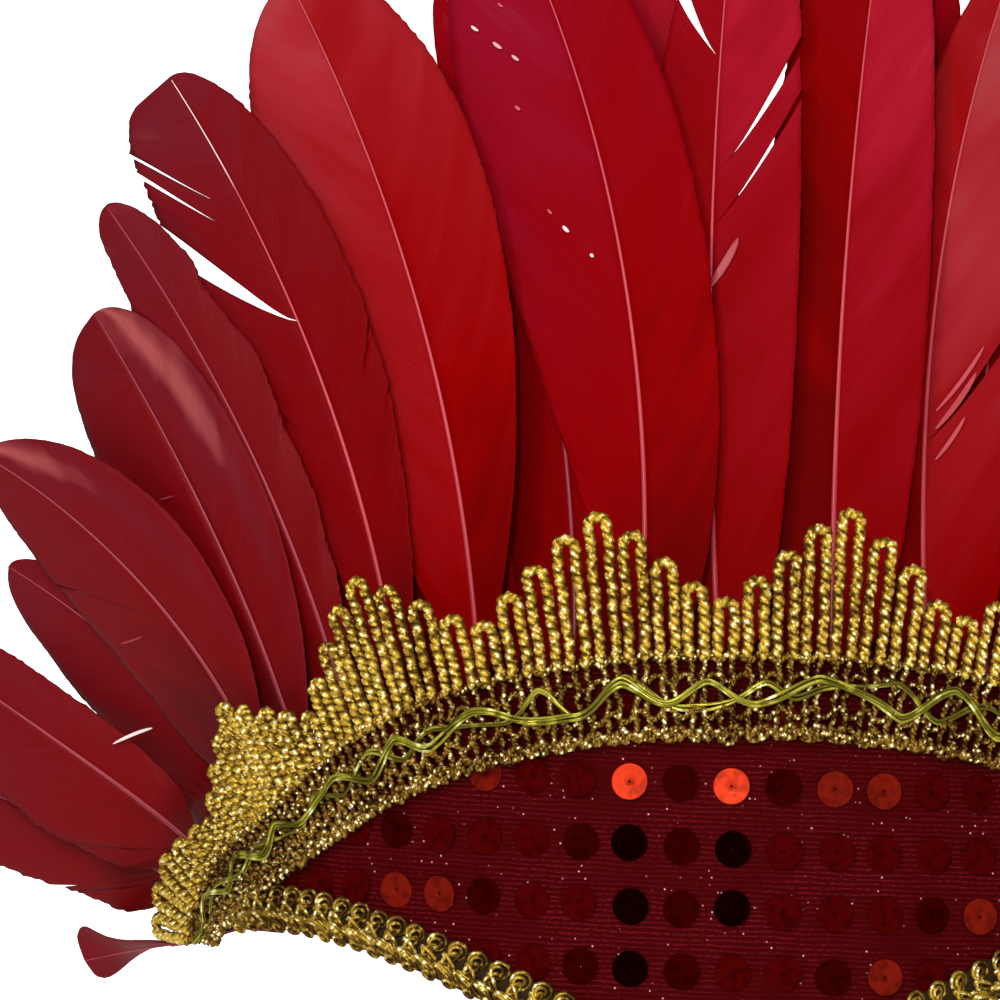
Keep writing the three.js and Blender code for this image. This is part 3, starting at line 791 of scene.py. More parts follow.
@dataclass
class CrownLace:
    """Scalloped braid lace: hairpin loops over a net, with flat tinsel woven through its foot."""
    band: Band
    half_repeats: float = 3.75
    loops_per_repeat: int = 8
    repeat_length: float = 34.3
    peak_phase: float = 0.42
    peak: float = 36.7
    valley: float = 21.5
    back_radius: float = 96.55
    strand: float = 0.55
    ply: float = 0.92
    ply_pitch: float = 2.5
    leg: float = 1.18
    loop_foot: float = 13.0
    net_top: float = 14.2
    crowded: float = 2.25
    strip_half: tuple[float, float] = (0.27, 0.10)
    # repeats from the middle, distance along the band, height, tilt in degrees and scale
    rows: Array = field(default_factory=lambda: np.array([
        [0, 0, 24.5, 0, 1], [0.455, 15.7, 24.1, 4, 1], [1.02, 35, 21.2, 12, 1],
        [1.49, 50.5, 16.6, 19, 1], [2.1, 65.8, 9.6, 31, 0.95], [2.61, 77, 3.4, 42, 0.88],
        [3.0, 86, -0.6, 50, 0.85], [3.3, 93, -4.3, 62, 0.8], [3.58, 98, -7.8, 80, 0.74],
        [3.75, 99.5, -9.6, 92, 0.7]]))
    # height, swing, stand, waves per loop and ply radius of each weft
    wefts: tuple[tuple[float, ...], ...] = (
        (13.4, 0.7, 1.5, 1.0, 0.36), (9.8, 0.7, 1.0, 1.0, 0.30), (4.6, 0.8, 1.4, 1.0, 0.32),
        (1.7, 0.7, 1.5, 1.0, 0.36), (0.9, 0.5, 1.2, 2.0, 0.36))
    # phase, swing, stand and the strips' distances from their middle, for each bundle of tinsel
    bundles: tuple[tuple[float, float, float, tuple[float, ...]], ...] = (
        (0.0, 2.0, 2.2, (-0.42, 0.0, 0.42)), (2.6, 1.9, 1.7, (-0.2, 0.2)))

    def place(self, repeats: Array, height: Array, radius: Array) -> tuple[Array, Array]:
        """A point of the lace: height scale (sin tilt, cos tilt) from its foot on the band.

        Args:
            repeats: how far along the lace, to the left.
            height: over the lace's foot.
            radius: distance from the band's axis.

        Returns:
            The points and their outward directions.
        """
        side = np.where(repeats < 0, -1.0, 1.0)
        along, up, tilt, scale = np.moveaxis(read_table(self.rows, np.abs(repeats)), -1, 0)
        tilt = np.radians(tilt)
        reach = height * scale
        along = side * (along + reach * np.sin(tilt))
        return self.band.point(along, up + reach * np.cos(tilt), radius), self.band.outward(along)

    def tops(self, repeats: Array) -> Array:
        """Heights of the loops: straight runs between valleys and peaks.

        Args:
            repeats: how far along the lace.

        Returns:
            The heights over its foot.
        """
        phase = repeats + self.peak_phase
        near = 1.0 - 2.0 * np.abs(phase - np.round(phase))
        return self.valley + (self.peak - self.valley) * near

    def twisted(self, surface: Surface, repeats: Array, height: Array, depth: Array, strand: float) -> None:
        """Two plies round a middle line: C(s) + ply (cos f S + sin f N), f = 2 pi s / pitch.

        Args:
            surface: where the cords are added.
            repeats: middle lines in repeats to the left, shape (cords, stations).
            height: their heights over the lace's foot.
            depth: how far they stand out from the lace's back.
            strand: radius of one ply.
        """
        line, normal = self.place(repeats, height, self.back_radius + depth)
        pitch = self.ply_pitch * strand / self.strand
        phase = TURN * run_length(line) / pitch
        ahead = unit(np.gradient(line, axis=1))
        side = unit(np.cross(ahead, normal))
        for start in (0.0, np.pi):
            angle = (phase + start)[..., None]
            path = line + self.ply * strand * (np.cos(angle) * side + np.sin(angle) * normal)
            # crest: where each ply comes to the front, left on one ply and right on the other; it swells
            # the ply and, as tone, places painted glints on it.
            crest = np.maximum(np.sin(angle[..., 0] + (0.5 if start else -0.5)), 0.0) ** 2
            girth = strand * (0.9 + 0.2 * crest)
            sweep(surface, path, normal, girth, girth, 4, tone=crest)

    def build(self) -> None:
        """Loops, net, weft cords and tinsel."""
        count = int(round(2 * self.half_repeats * self.loops_per_repeat))
        middle = self.half_repeats - (np.arange(count) + 0.5) / self.loops_per_repeat
        rng = np.random.default_rng(3)
        far = middle[np.abs(middle) > self.crowded]
        lace = Surface()
        self.loops(lace, middle[:, None], 0.0, rng)
        self.loops(lace, far[:, None] - 0.5 / self.loops_per_repeat, 0.9, rng)
        lace.piece("lace_loops", GOLD_CORD, ("crown_lace",))
        self.net(middle[:, None], rng)
        self.tinsel()

    def loops(self, lace: Surface, middle: Array, lower: float, rng: np.random.Generator) -> None:
        """Hairpins: height = foot + (top - foot) reach + leg sin(turn), and offset = leg cos(turn).

        Args:
            lace: where the cords are added.
            middle: each loop's place, in repeats to the left.
            lower: how far the loops stay below the scallop and behind the others.
            rng: for the small differences between loops.
        """
        top = self.tops(middle) - 0.5 - 2.0 * lower + rng.normal(0.0, 0.3, middle.shape)
        reach, turn = hairpin(stations=116, straight=0.46)
        height = self.loop_foot + (top - self.leg - self.loop_foot) * reach + self.leg * np.sin(turn)
        lean = rng.normal(0.0, 0.22, middle.shape) * smoothstep(height, self.loop_foot, 40.0)
        wave = 0.10 * np.sin(height * 0.9 + rng.uniform(0, TURN, middle.shape))
        offset = (self.leg + 0.1 * np.sin(turn)) * np.cos(turn) + lean + wave
        depth = 1.4 - 0.7 * lower + rng.normal(0.0, 0.15, middle.shape) + 0.25 * np.sin(turn)
        depth = np.broadcast_to(depth, height.shape)
        self.twisted(lace, middle + offset / self.repeat_length, height, depth, self.strand)

    def net(self, middle: Array, rng: np.random.Generator) -> None:
        """Below the loops the legs run on to small loops at the foot, with cords woven across them.

        A weft is height = base + swing sin(rate beat), where beat turns once for each loop.

        Args:
            middle: each loop's place, in repeats to the left.
            rng: for the small differences between loops.
        """
        net = Surface()
        fall, turn = hairpin(stations=60, straight=0.43)
        low = 1.7 + rng.normal(0.0, 0.3, middle.shape)
        height = self.net_top - (self.net_top - low) * fall - self.leg * np.sin(turn)
        sway = 0.28 * np.sin(height * 1.5 + rng.uniform(0, TURN, middle.shape)) * np.sin(np.pi * fall)
        offset = self.leg * np.cos(turn) * (0.92 - 0.25 * np.sin(np.pi * fall)) + sway
        depth = 1.1 + 0.25 * np.sin(height * 1.53) + 0.1 * np.cos(turn)
        self.twisted(net, middle + offset / self.repeat_length, height, depth, 0.38)
        line = np.linspace(self.half_repeats, -self.half_repeats, 1050)[None, :]
        beat = TURN * self.loops_per_repeat * line
        for row, (base, swing, out, rate, strand) in enumerate(self.wefts):
            wander = 0.3 * soft_noise(line.size, 60, 40 + row)[None, :]
            height = base + swing * np.sin(rate * beat + 2.1 * row) + wander
            self.twisted(net, line, height, out + 0.3 * np.cos(rate * beat + 1.3 * row), strand)
        net.piece("lace_net", SHADED_GOLD_NET)

    def tinsel(self) -> None:
        """Flat strips side by side that wave slowly across the net.

        A bundle's middle is height = 7.8 + swing (0.3 tri(phase) + 0.7 sin(phase)), where tri is the
        triangle wave and the phase and the swing wander.
        """
        strip = Surface()
        stations = 1100
        line = np.linspace(self.half_repeats, -self.half_repeats, stations)[None, :]
        for row, (phase, swing, out, shifts) in enumerate(self.bundles):
            waves = TURN * line * 2.1 + phase + 1.6 * soft_noise(stations, 55, 5 + row)[None, :]
            bent = 0.3 * np.arcsin(np.sin(waves)) * 2 / np.pi + 0.7 * np.sin(waves)
            middle = 7.8 + swing * bent * (1.0 + 0.5 * soft_noise(stations, 80, 15 + row)[None, :])
            for strand, shift in enumerate(shifts):
                seed = 20 + 5 * row + strand
                drift = 0.32 * soft_noise(stations, 26, seed)[None, :]
                lift = out + 0.25 * soft_noise(stations, 18, seed + 40)[None, :]
                path, normal = self.place(line, middle + shift + drift, self.back_radius + lift)
                twist = 0.8 * soft_noise(stations, 16, seed + 80)[None, :, None]
                # The tone places painted glints along each strip at random; the second bundle gets fewer
                # and is painted darker.
                tone = 0.5 - 0.2 * row + 0.8 * soft_noise(stations, 22, seed + 60)[None, :]
                face = unit(normal + twist * np.array([0.0, 0.0, 1.0]))
                sweep(strip, path, face, *self.strip_half, tone=tone)
        strip.piece("lace_tinsel", GOLD_TINSEL)


@dataclass
class EdgeBraid:
    """Gimp braid: a tape with an upper row of round loops and a lower row of long slanting ones."""
    band: Band
    half_length: float = 95.4
    half_width: float = 4.0
    pitch: float = 3.6
    wire: float = 0.35
    # distance from the middle and height of the middle line
    rows: Array = field(default_factory=lambda: np.array([
        [0, -29.2], [10, -26.6], [24.7, -20.1], [43, -12.4], [53.2, -8.7], [68.9, -4.6], [86, -3.0],
        [98.6, -4.2]]))
    # rise, long and short half axes, slant, shift along the braid and lift of each loop
    rings: tuple[tuple[float, ...], ...] = (
        (2.35, 1.45, 1.30, -0.5, 0.0, 0.30), (2.25, 0.86, 0.68, -0.5, 0.1, 0.62),
        (0.9, 1.25, 0.50, -0.9, 0.55, 0.75))
    leaves: tuple[tuple[float, ...], ...] = (
        (-1.9, 2.5, 1.05, 0.42, 0.9, 0.15), (-1.85, 2.2, 0.66, 0.42, 0.95, 0.42),
        (-1.8, 1.9, 0.27, 0.42, 1.0, 0.62), (0.1, 1.7, 0.45, 0.7, 0.3, 0.80),
        (-3.1, 0.9, 0.55, 0.2, 0.0, 0.1))

    def frame_at(self, along: Array) -> tuple[Array, Array]:
        """Height and slope of the middle line. The slope is the rise over a millimetre round the point.

        Args:
            along: distance from the middle.

        Returns:
            The heights and the slopes.
        """
        reach = np.abs(along)
        up, ahead, behind = (read_table(self.rows, np.abs(reach + step))[..., 0]
                             for step in (0.0, 0.5, -0.5))
        return up, (ahead - behind) * np.where(along < 0, -1.0, 1.0)

    def place(self, base: Array, run: Array, rise: Array, radius: Array) -> tuple[Array, Array]:
        """A point off the middle line: run (1, m) + rise (-m, 1), divided by sqrt(1 + m^2) for the slope m.

        Args:
            base: where on the middle line.
            run: how far along from there.
            rise: how far across.
            radius: distance from the band's axis.

        Returns:
            The points and their outward directions.
        """
        up, slope = self.frame_at(base)
        size = np.hypot(1.0, slope)
        along = base + (run - rise * slope) / size
        return self.band.point(along, up + (run * slope + rise) / size, radius), self.band.outward(along)

    def build(self) -> None:
        """Tape, an upper row of rings, a lower row of long loops and the plait between them."""
        line = np.linspace(self.half_length, -self.half_length, 500)
        tape = Surface()
        path, normal = self.place(line[None, :], 0.0, -0.1, self.band.radius + 0.62)
        sweep(tape, path, normal, self.half_width * 0.8, 0.28, 12)
        tape.piece("braid_tape", SHADED_TAPE, ("edge_braid",))
        self.wires("braid_rings", self.rings, 11)
        self.wires("braid_leaves", self.leaves, 12)

    def wires(self, name: str, loops: tuple[tuple[float, ...], ...], seed: int) -> None:
        """Closed loops of wire, one set per pitch of the braid.

        A loop is the ellipse (long cos a, short sin a), turned by its slant, and it stands out by
        lift + 0.4 sin(a + 0.8), so that one side lies over its neighbour.

        Args:
            name: the piece's name.
            loops: one row a loop, in the columns of the tables above.
            seed: for the small differences between loops.
        """
        count = int(2 * self.half_length / self.pitch)
        base = np.linspace(self.half_length - 1.5, -self.half_length + 1.5, count)[:, None]
        rng = np.random.default_rng(seed)
        angle = np.linspace(0.0, TURN, 19)[None, :-1]
        wires = Surface()
        for rise, long, short, slant, shift, lift in loops:
            size = 1.0 + rng.normal(0.0, 0.05, (count, 1))
            turn = slant + rng.normal(0.0, 0.10, (count, 1))
            x, y = size * long * np.cos(angle), size * short * np.sin(angle)
            run = x * np.cos(turn) - y * np.sin(turn) + shift + rng.normal(0.0, 0.12, (count, 1))
            across = rise + x * np.sin(turn) + y * np.cos(turn)
            radius = self.band.radius + 0.85 + lift + 0.4 * np.sin(angle + 0.8)
            path, normal = self.place(base, run, across, radius)
            # The tone puts painted glints on the side of each loop that stands out most.
            sweep(wires, path, normal, self.wire, self.wire, 4, closed=True,
                  tone=np.maximum(np.sin(angle + 0.8), 0.0) ** 1.5)
        wires.piece(name, GOLD_WIRE)


@dataclass
class HeadStrap:
    """Woven elastic from tip to tip round the back of the head, with ribs along it."""
    middle_height: float = -2.0
    width: float = 12.0
    thickness: float = 1.2
    front_radius: float = 86.6
    front_angles: tuple[float, ...] = (57.0, 62.0, 67.0)
    # x and y behind the tips, as far as the middle of the back
    back_rows: tuple[tuple[float, float], ...] = ((90.5, 4), (85.5, 42), (65, 76), (34, 96), (0, 102))
    ribs: int = 9
    rib_height: float = 0.1
    weave_run: float = 500.0

    def course(self, steps: int) -> Array:
        """The strap's middle line: a smooth curve through its named points, evenly stepped.

        Args:
            steps: how many points.

        Returns:
            The points.
        """
        front = [(self.front_radius * np.sin(np.radians(a)), -self.front_radius * np.cos(np.radians(a)))
                 for a in self.front_angles]
        half = np.array(front + list(self.back_rows))
        whole = np.concatenate([half, half[-2::-1] * [-1, 1]])
        chord = np.concatenate([[0], np.cumsum(np.sqrt(np.linalg.norm(np.diff(whole, axis=0), axis=1)))])
        fine = read_table(np.column_stack([chord, whole]), np.linspace(0, chord[-1], 2000))
        length = run_length(fine[None])[0]
        even = np.linspace(0, length[-1], steps)
        return np.column_stack([np.interp(even, length, fine[:, 0]), np.interp(even, length, fine[:, 1]),
                                np.full(steps, self.middle_height)])

    def build(self) -> None:
        """A ribbed strip: its half thickness falls by 0.9 h (1 - cos(pi n share)) between n ribs."""
        path = self.course(170)
        ahead = unit(np.gradient(path, axis=0))
        outward = np.cross(ahead, [0.0, 0.0, 1.0])
        share = np.linspace(-1.0, 1.0, 6 * self.ribs + 1)
        relief = self.rib_height * (np.cos(np.pi * self.ribs * share) - 1.0)
        up = share * self.width / 2
        half = self.thickness / 2 + relief * 0.9
        line = path[:, None] + up[None, :, None] * np.array([0.0, 0.0, 1.0])
        front = line + half[None, :, None] * outward[:, None]
        back = line - half[None, :, None] * outward[:, None]
        length = np.linspace(0.0, self.weave_run, len(path))
        uv = np.stack(np.broadcast_arrays(length[:, None], up[None, :]), -1)
        strap = Surface()
        filled = np.ones((len(path) - 1, len(share) - 1), bool)
        shell(strap, front, back, filled, False, uv, np.zeros(uv.shape[:2]))
        strap.piece("strap_elastic", ELASTIC, ("head_strap",))


# Feathers

@dataclass(frozen=True)
class Fan:
    """How the feathers stand round the band, in the same words and numbers as the solids."""
    quill_radius: float = 90.3
    front_lean: float = np.radians(17.0)
    side_lean: float = np.radians(5.0)
    lean_rate: float = 1.5
    facing: float = 0.35
    tip_facing: float = 0.8
    turn_length: float = 16.0
    spread: float = 1.3
    shingle: float = 0.20
    layer_depth: float = 7.5
    settle_start: float = 5.0
    settle_end: float = 36.0
    sweep: float = 4.0
    side_roots: tuple[float, float] = (48.0, 60.0)
    turn_reach: tuple[float, float] = (13.0, 28.0)


@dataclass(frozen=True)
class Split:
    """A gap between barbs: +1 left or -1 right, the share of the vane where it opens, the share of the
    way out where it starts, and its width at the edge in millimetres."""
    side: int
    place: float
    start: float
    width: float


@dataclass(frozen=True)
class Fleck:
    """A pale spot or tuft on a vane: share of its length, millimetres to the left of the shaft, its own
    length and half width, its tone from dyed (0) to white (1), and its angle with the shaft."""
    place: float
    aside: float
    length: float
    width: float
    tone: float
    lean: float = 30.0


@dataclass
class Feather:
    """One feather: a vane of barbs on both sides of a tapering shaft."""
    number: int
    root: float
    foot: float
    rise: float
    curl: float
    length: float
    left: float
    right: float
    layer: float
    bare: float
    dye: Dye
    powers: tuple[tuple[float, float], tuple[float, float]]
    splits: tuple[Split, ...] = ()
    flecks: tuple[Fleck, ...] = ()
    # tones: per side, a shift towards painted light (up) or painted shade (down).
    tones: tuple[float, float] = (0.0, 0.0)
    # band: strength of a painted highlight stripe along the right vane.
    band: float = 0.0
    bright: float = 0.0
    ragged: float = 0.010
    fan: Fan = field(default_factory=Fan)
    barb_pitch: float = 0.85
    barb_run: float = 1.7
    barb_relief: float = 0.012
    split_gap: float = 2e-4
    split_reach: float = 0.055
    tip_steps: tuple[float, ...] = (0.8, 0.6, 0.45, 0.32, 0.2, 0.12, 0.06, 0.02, 0.004)
    out_steps: tuple[float, ...] = (0.0, 0.10, 0.22, 0.36, 0.5, 0.63, 0.75, 0.85, 0.93, 1.0)

    def shaft_point(self, length: Array, turn: float = 0.0) -> Array:
        """A point of the shaft, which follows the band at first, then turns outwards and leans back.

        It bends on a circle, left = (cos a0 - cos a) / k and up = (sin a - sin a0) / k with a = a0 + k s.
        The share left^3 / (left^2 + turn length^2) of its way to the left faces the front.

        Args:
            length: distance along the shaft.
            turn: how far round the band the shaft is moved to the left.

        Returns:
            The points, on a new last axis.
        """
        fan = self.fan
        root = np.radians(self.root) + turn
        start = np.radians(self.rise) + fan.spread * turn
        bend = np.radians(self.curl) / self.length
        direction = start + bend * length
        left = (np.cos(start) - np.cos(direction)) / bend
        up = (np.sin(direction) - np.sin(start)) / bend
        turned = left**3 / (left**2 + fan.turn_length**2)
        lean = fan.side_lean + (fan.front_lean - fan.side_lean) * max(0.0, np.cos(fan.lean_rate * root))
        settle = smoothstep(length, fan.settle_start, fan.settle_end)
        depth = self.layer * fan.layer_depth * settle + fan.sweep * (length / self.length) ** 2
        outward = np.array([-np.sin(root), -np.cos(root), 0.0])
        beside = np.array([-np.cos(root), np.sin(root), 0.0])
        facing = np.array([-np.cos(fan.facing * root), np.sin(fan.facing * root), 0.0])
        height = (self.foot + up * np.cos(lean))[..., None] * np.array([0.0, 0.0, 1.0])
        return (height + outward * (fan.quill_radius - up * np.sin(lean) - depth)[..., None]
                + beside * (left - turned)[..., None] + facing * turned[..., None])

    def axes(self, length: Array) -> tuple[Array, Array, Array]:
        """The shaft, and the vane's directions on it.

        Args:
            length: distance along the shaft.

        Returns:
            The points, the directions across to the left and those out of the vane's face.
        """
        middle = self.shaft_point(length)
        along = unit(self.shaft_point(length + 0.01) - middle)
        across = self.shaft_point(length, 1e-4) - middle
        turned = self.fan.tip_facing * smoothstep(abs(self.root), *self.fan.side_roots)
        turned = turned * smoothstep(length, *self.fan.turn_reach)
        across[..., 1] *= 1.0 - turned
        across = unit(across - along * np.sum(across * along, -1, keepdims=True))
        face = np.cross(along, across)
        slope = self.fan.shingle * smoothstep(length, self.fan.settle_start, self.fan.settle_end)
        across = unit(across - face * slope[..., None])
        return middle, across, np.cross(along, across)

    def half_width(self, share: Array, side: int) -> Array:
        """Half width W (t / m)^f ((1 - t) / (1 - m))^g, which is widest at m = f / (f + g).

        Args:
            share: t, from 0 at the vane's foot to 1 at its tip.
            side: +1 for the left and -1 for the right.

        Returns:
            The half widths.
        """
        foot, tip = self.powers[0 if side > 0 else 1]
        widest = foot / (foot + tip)
        share = np.clip(share, 0.0, 1.0)
        shape = (share / widest) ** foot * ((1.0 - share) / (1.0 - widest)) ** tip
        return (self.left if side > 0 else self.right) * shape

    def curve(self) -> float:
        """How much the vane bends back towards its edges: more in the short side feathers."""
        return 0.13 if self.dye is Dye.WINE else 0.04

    def run(self) -> float:
        """How far a barb runs along the shaft for each millimetre that it reaches out."""
        return min(self.barb_run, 0.4 * (self.length - self.bare) / max(self.left, self.right))

    def side(self, vane: Surface, side: int, seed: int) -> None:
        """One side of the vane. A barb that ends at e on the outline starts at s = e - run W(e).

        v(s, q) = s + (e - s) q^1.3 and x(s, q) = W(e) q. Barbs on the two sides of a split swing apart
        by its width, and those next to them less and less.

        Args:
            vane: where the sheet is added.
            side: +1 for the left and -1 for the right.
            seed: for the uneven edge.
        """
        rng = np.random.default_rng(seed)
        vane_length = self.length - self.bare
        mine = [split for split in self.splits if split.side == side]
        count = int(vane_length / self.barb_pitch)
        tip = 1.0 - 0.03 * np.array(self.tip_steps)
        banks = [[split.place - self.split_gap, split.place + self.split_gap] for split in mine]
        ends = np.concatenate([np.linspace(0.006, 0.97, count), tip] + banks)
        ends = np.sort(ends)
        width = self.half_width(ends, side)
        start = ends - width * self.run() / vane_length * smoothstep(1.0 - ends, 0.0, 0.08)
        start = np.maximum(start, 0.012 * ends)
        start = np.minimum(np.maximum.accumulate(start) + 2e-5 * np.arange(len(start)), ends)
        q = np.array(self.out_steps)
        frayed = rng.uniform(-1, 1, len(ends)) * min(self.ragged, 0.02)
        notch = soft_noise(len(ends), 9, seed) * self.ragged + frayed
        width = width * (1.0 + notch - self.ragged)
        v = start[:, None] + (ends - start)[:, None] * q[None, :] ** 1.3
        filled = np.ones((len(ends) - 1, len(q) - 1), bool)
        for split in mine:
            away = ends - split.place
            half_gap = split.width / (2 * vane_length)
            pull = np.exp(-np.abs(away) / self.split_reach) * np.sign(away) * half_gap
            v = v + pull[:, None] * smoothstep(q, split.start, 1.15)[None, :]
            row = int(np.searchsorted(ends, split.place)) - 1
            filled[row, q[:-1] >= split.start - 1e-6] = False
        v = np.clip(v, 0.0, 0.9995)
        middle, across, face = self.axes(self.bare + v * vane_length)
        x = width[:, None] * q[None, :]
        ripple = 0.25 * soft_noise(len(ends), 14, seed + 2)[:, None] * q[None, :]
        cup = -self.curve() * x * q[None, :] + ripple
        turns = np.where(np.arange(len(ends)) % 2, 1.0, -1.0)
        barb = self.barb_relief * turns[:, None] * np.sqrt(q)[None, :]
        thick = 0.20 - 0.12 * q[None, :]
        flat = middle + across * (side * x)[..., None]
        # A painted highlight stripe along the right vane, where its curl meets the light; it lifts the tone
        # towards the highlight colour.
        highlight_stripe = self.band * (side < 0) * np.exp(-((q - 0.68) / 0.16) ** 2) * smoothstep(v, 0.05, 0.3)
        foot = (start * vane_length)[:, None] + seed * 7.3
        uv = np.stack(np.broadcast_arrays(foot, side * q[None, :]), -1)
        front, back = (flat + face * (cup + barb + half)[..., None] for half in (thick, -thick))
        # The tone, each side's shift and the stripe choose how much painted light or shade the vane gets.
        shell(vane, front, back, filled, side < 0, uv, v + self.tones[0 if side > 0 else 1] + highlight_stripe)

    def build(self) -> None:
        """The vane's two sides and the shaft."""
        name = f"feather_{self.number:02d}"
        vane = Surface()
        self.side(vane, 1, 100 + 2 * self.number)
        self.side(vane, -1, 101 + 2 * self.number)
        vane.piece(name + "_vane", self.dye.value, (name,))

        length = np.linspace(0.0, self.length * 0.995, 70)
        middle, _, face = self.axes(length)
        share = np.clip((length - self.bare) / (self.length - self.bare), 0.0, 1.0)
        half = 1.15 - 0.35 * smoothstep(length, self.bare - 10.0, self.bare + 4.0)
        half = np.where(share > 0.0, np.minimum(half, 0.13 + 0.47 * (1.0 - share) ** 1.7), half)
        # Where bright is set, a painted highlight turns the shaft white towards its tip.
        tone = 0.75 * share + self.bright * smoothstep(share, 0.76, 0.86)
        shaft = Surface()
        line = (middle + face * 0.12)[None]
        sweep(shaft, line, face[None], half[None], 0.8 * half[None], 8, tone=tone[None])
        for fleck in self.flecks:
            self.tuft(shaft, fleck)
        finish = DULL_SHAFT if self.dye in (Dye.WINE, Dye.CRIMSON) else SHAFT
        shaft.piece(name + "_shaft", finish)

    def tuft(self, shaft: Surface, fleck: Fleck) -> None:
        """A flat lens along the barbs: half width W sqrt(1 - u^2), with u from -1 to 1 along it.

        Args:
            shaft: where it is added.
            fleck: its place, size and tone.
        """
        u = np.sin(np.linspace(-0.5 * np.pi, 0.5 * np.pi, 9))
        run = fleck.length * 0.5 * u
        lean = np.radians(fleck.lean)
        place = self.bare + fleck.place * (self.length - self.bare) + np.cos(lean) * run
        middle, across, face = self.axes(place)
        bulge = 0.04 * fleck.length * (1.0 - u * u)
        aside = fleck.aside + np.sign(fleck.aside) * (np.sin(lean) * run + bulge)
        path = middle + across * aside[:, None] + face * 0.5
        wide = fleck.width * np.sqrt(1.0 - u * u) + 0.02
        sweep(shaft, path[None], face[None], wide[None], 0.05, 8, tone=fleck.tone)


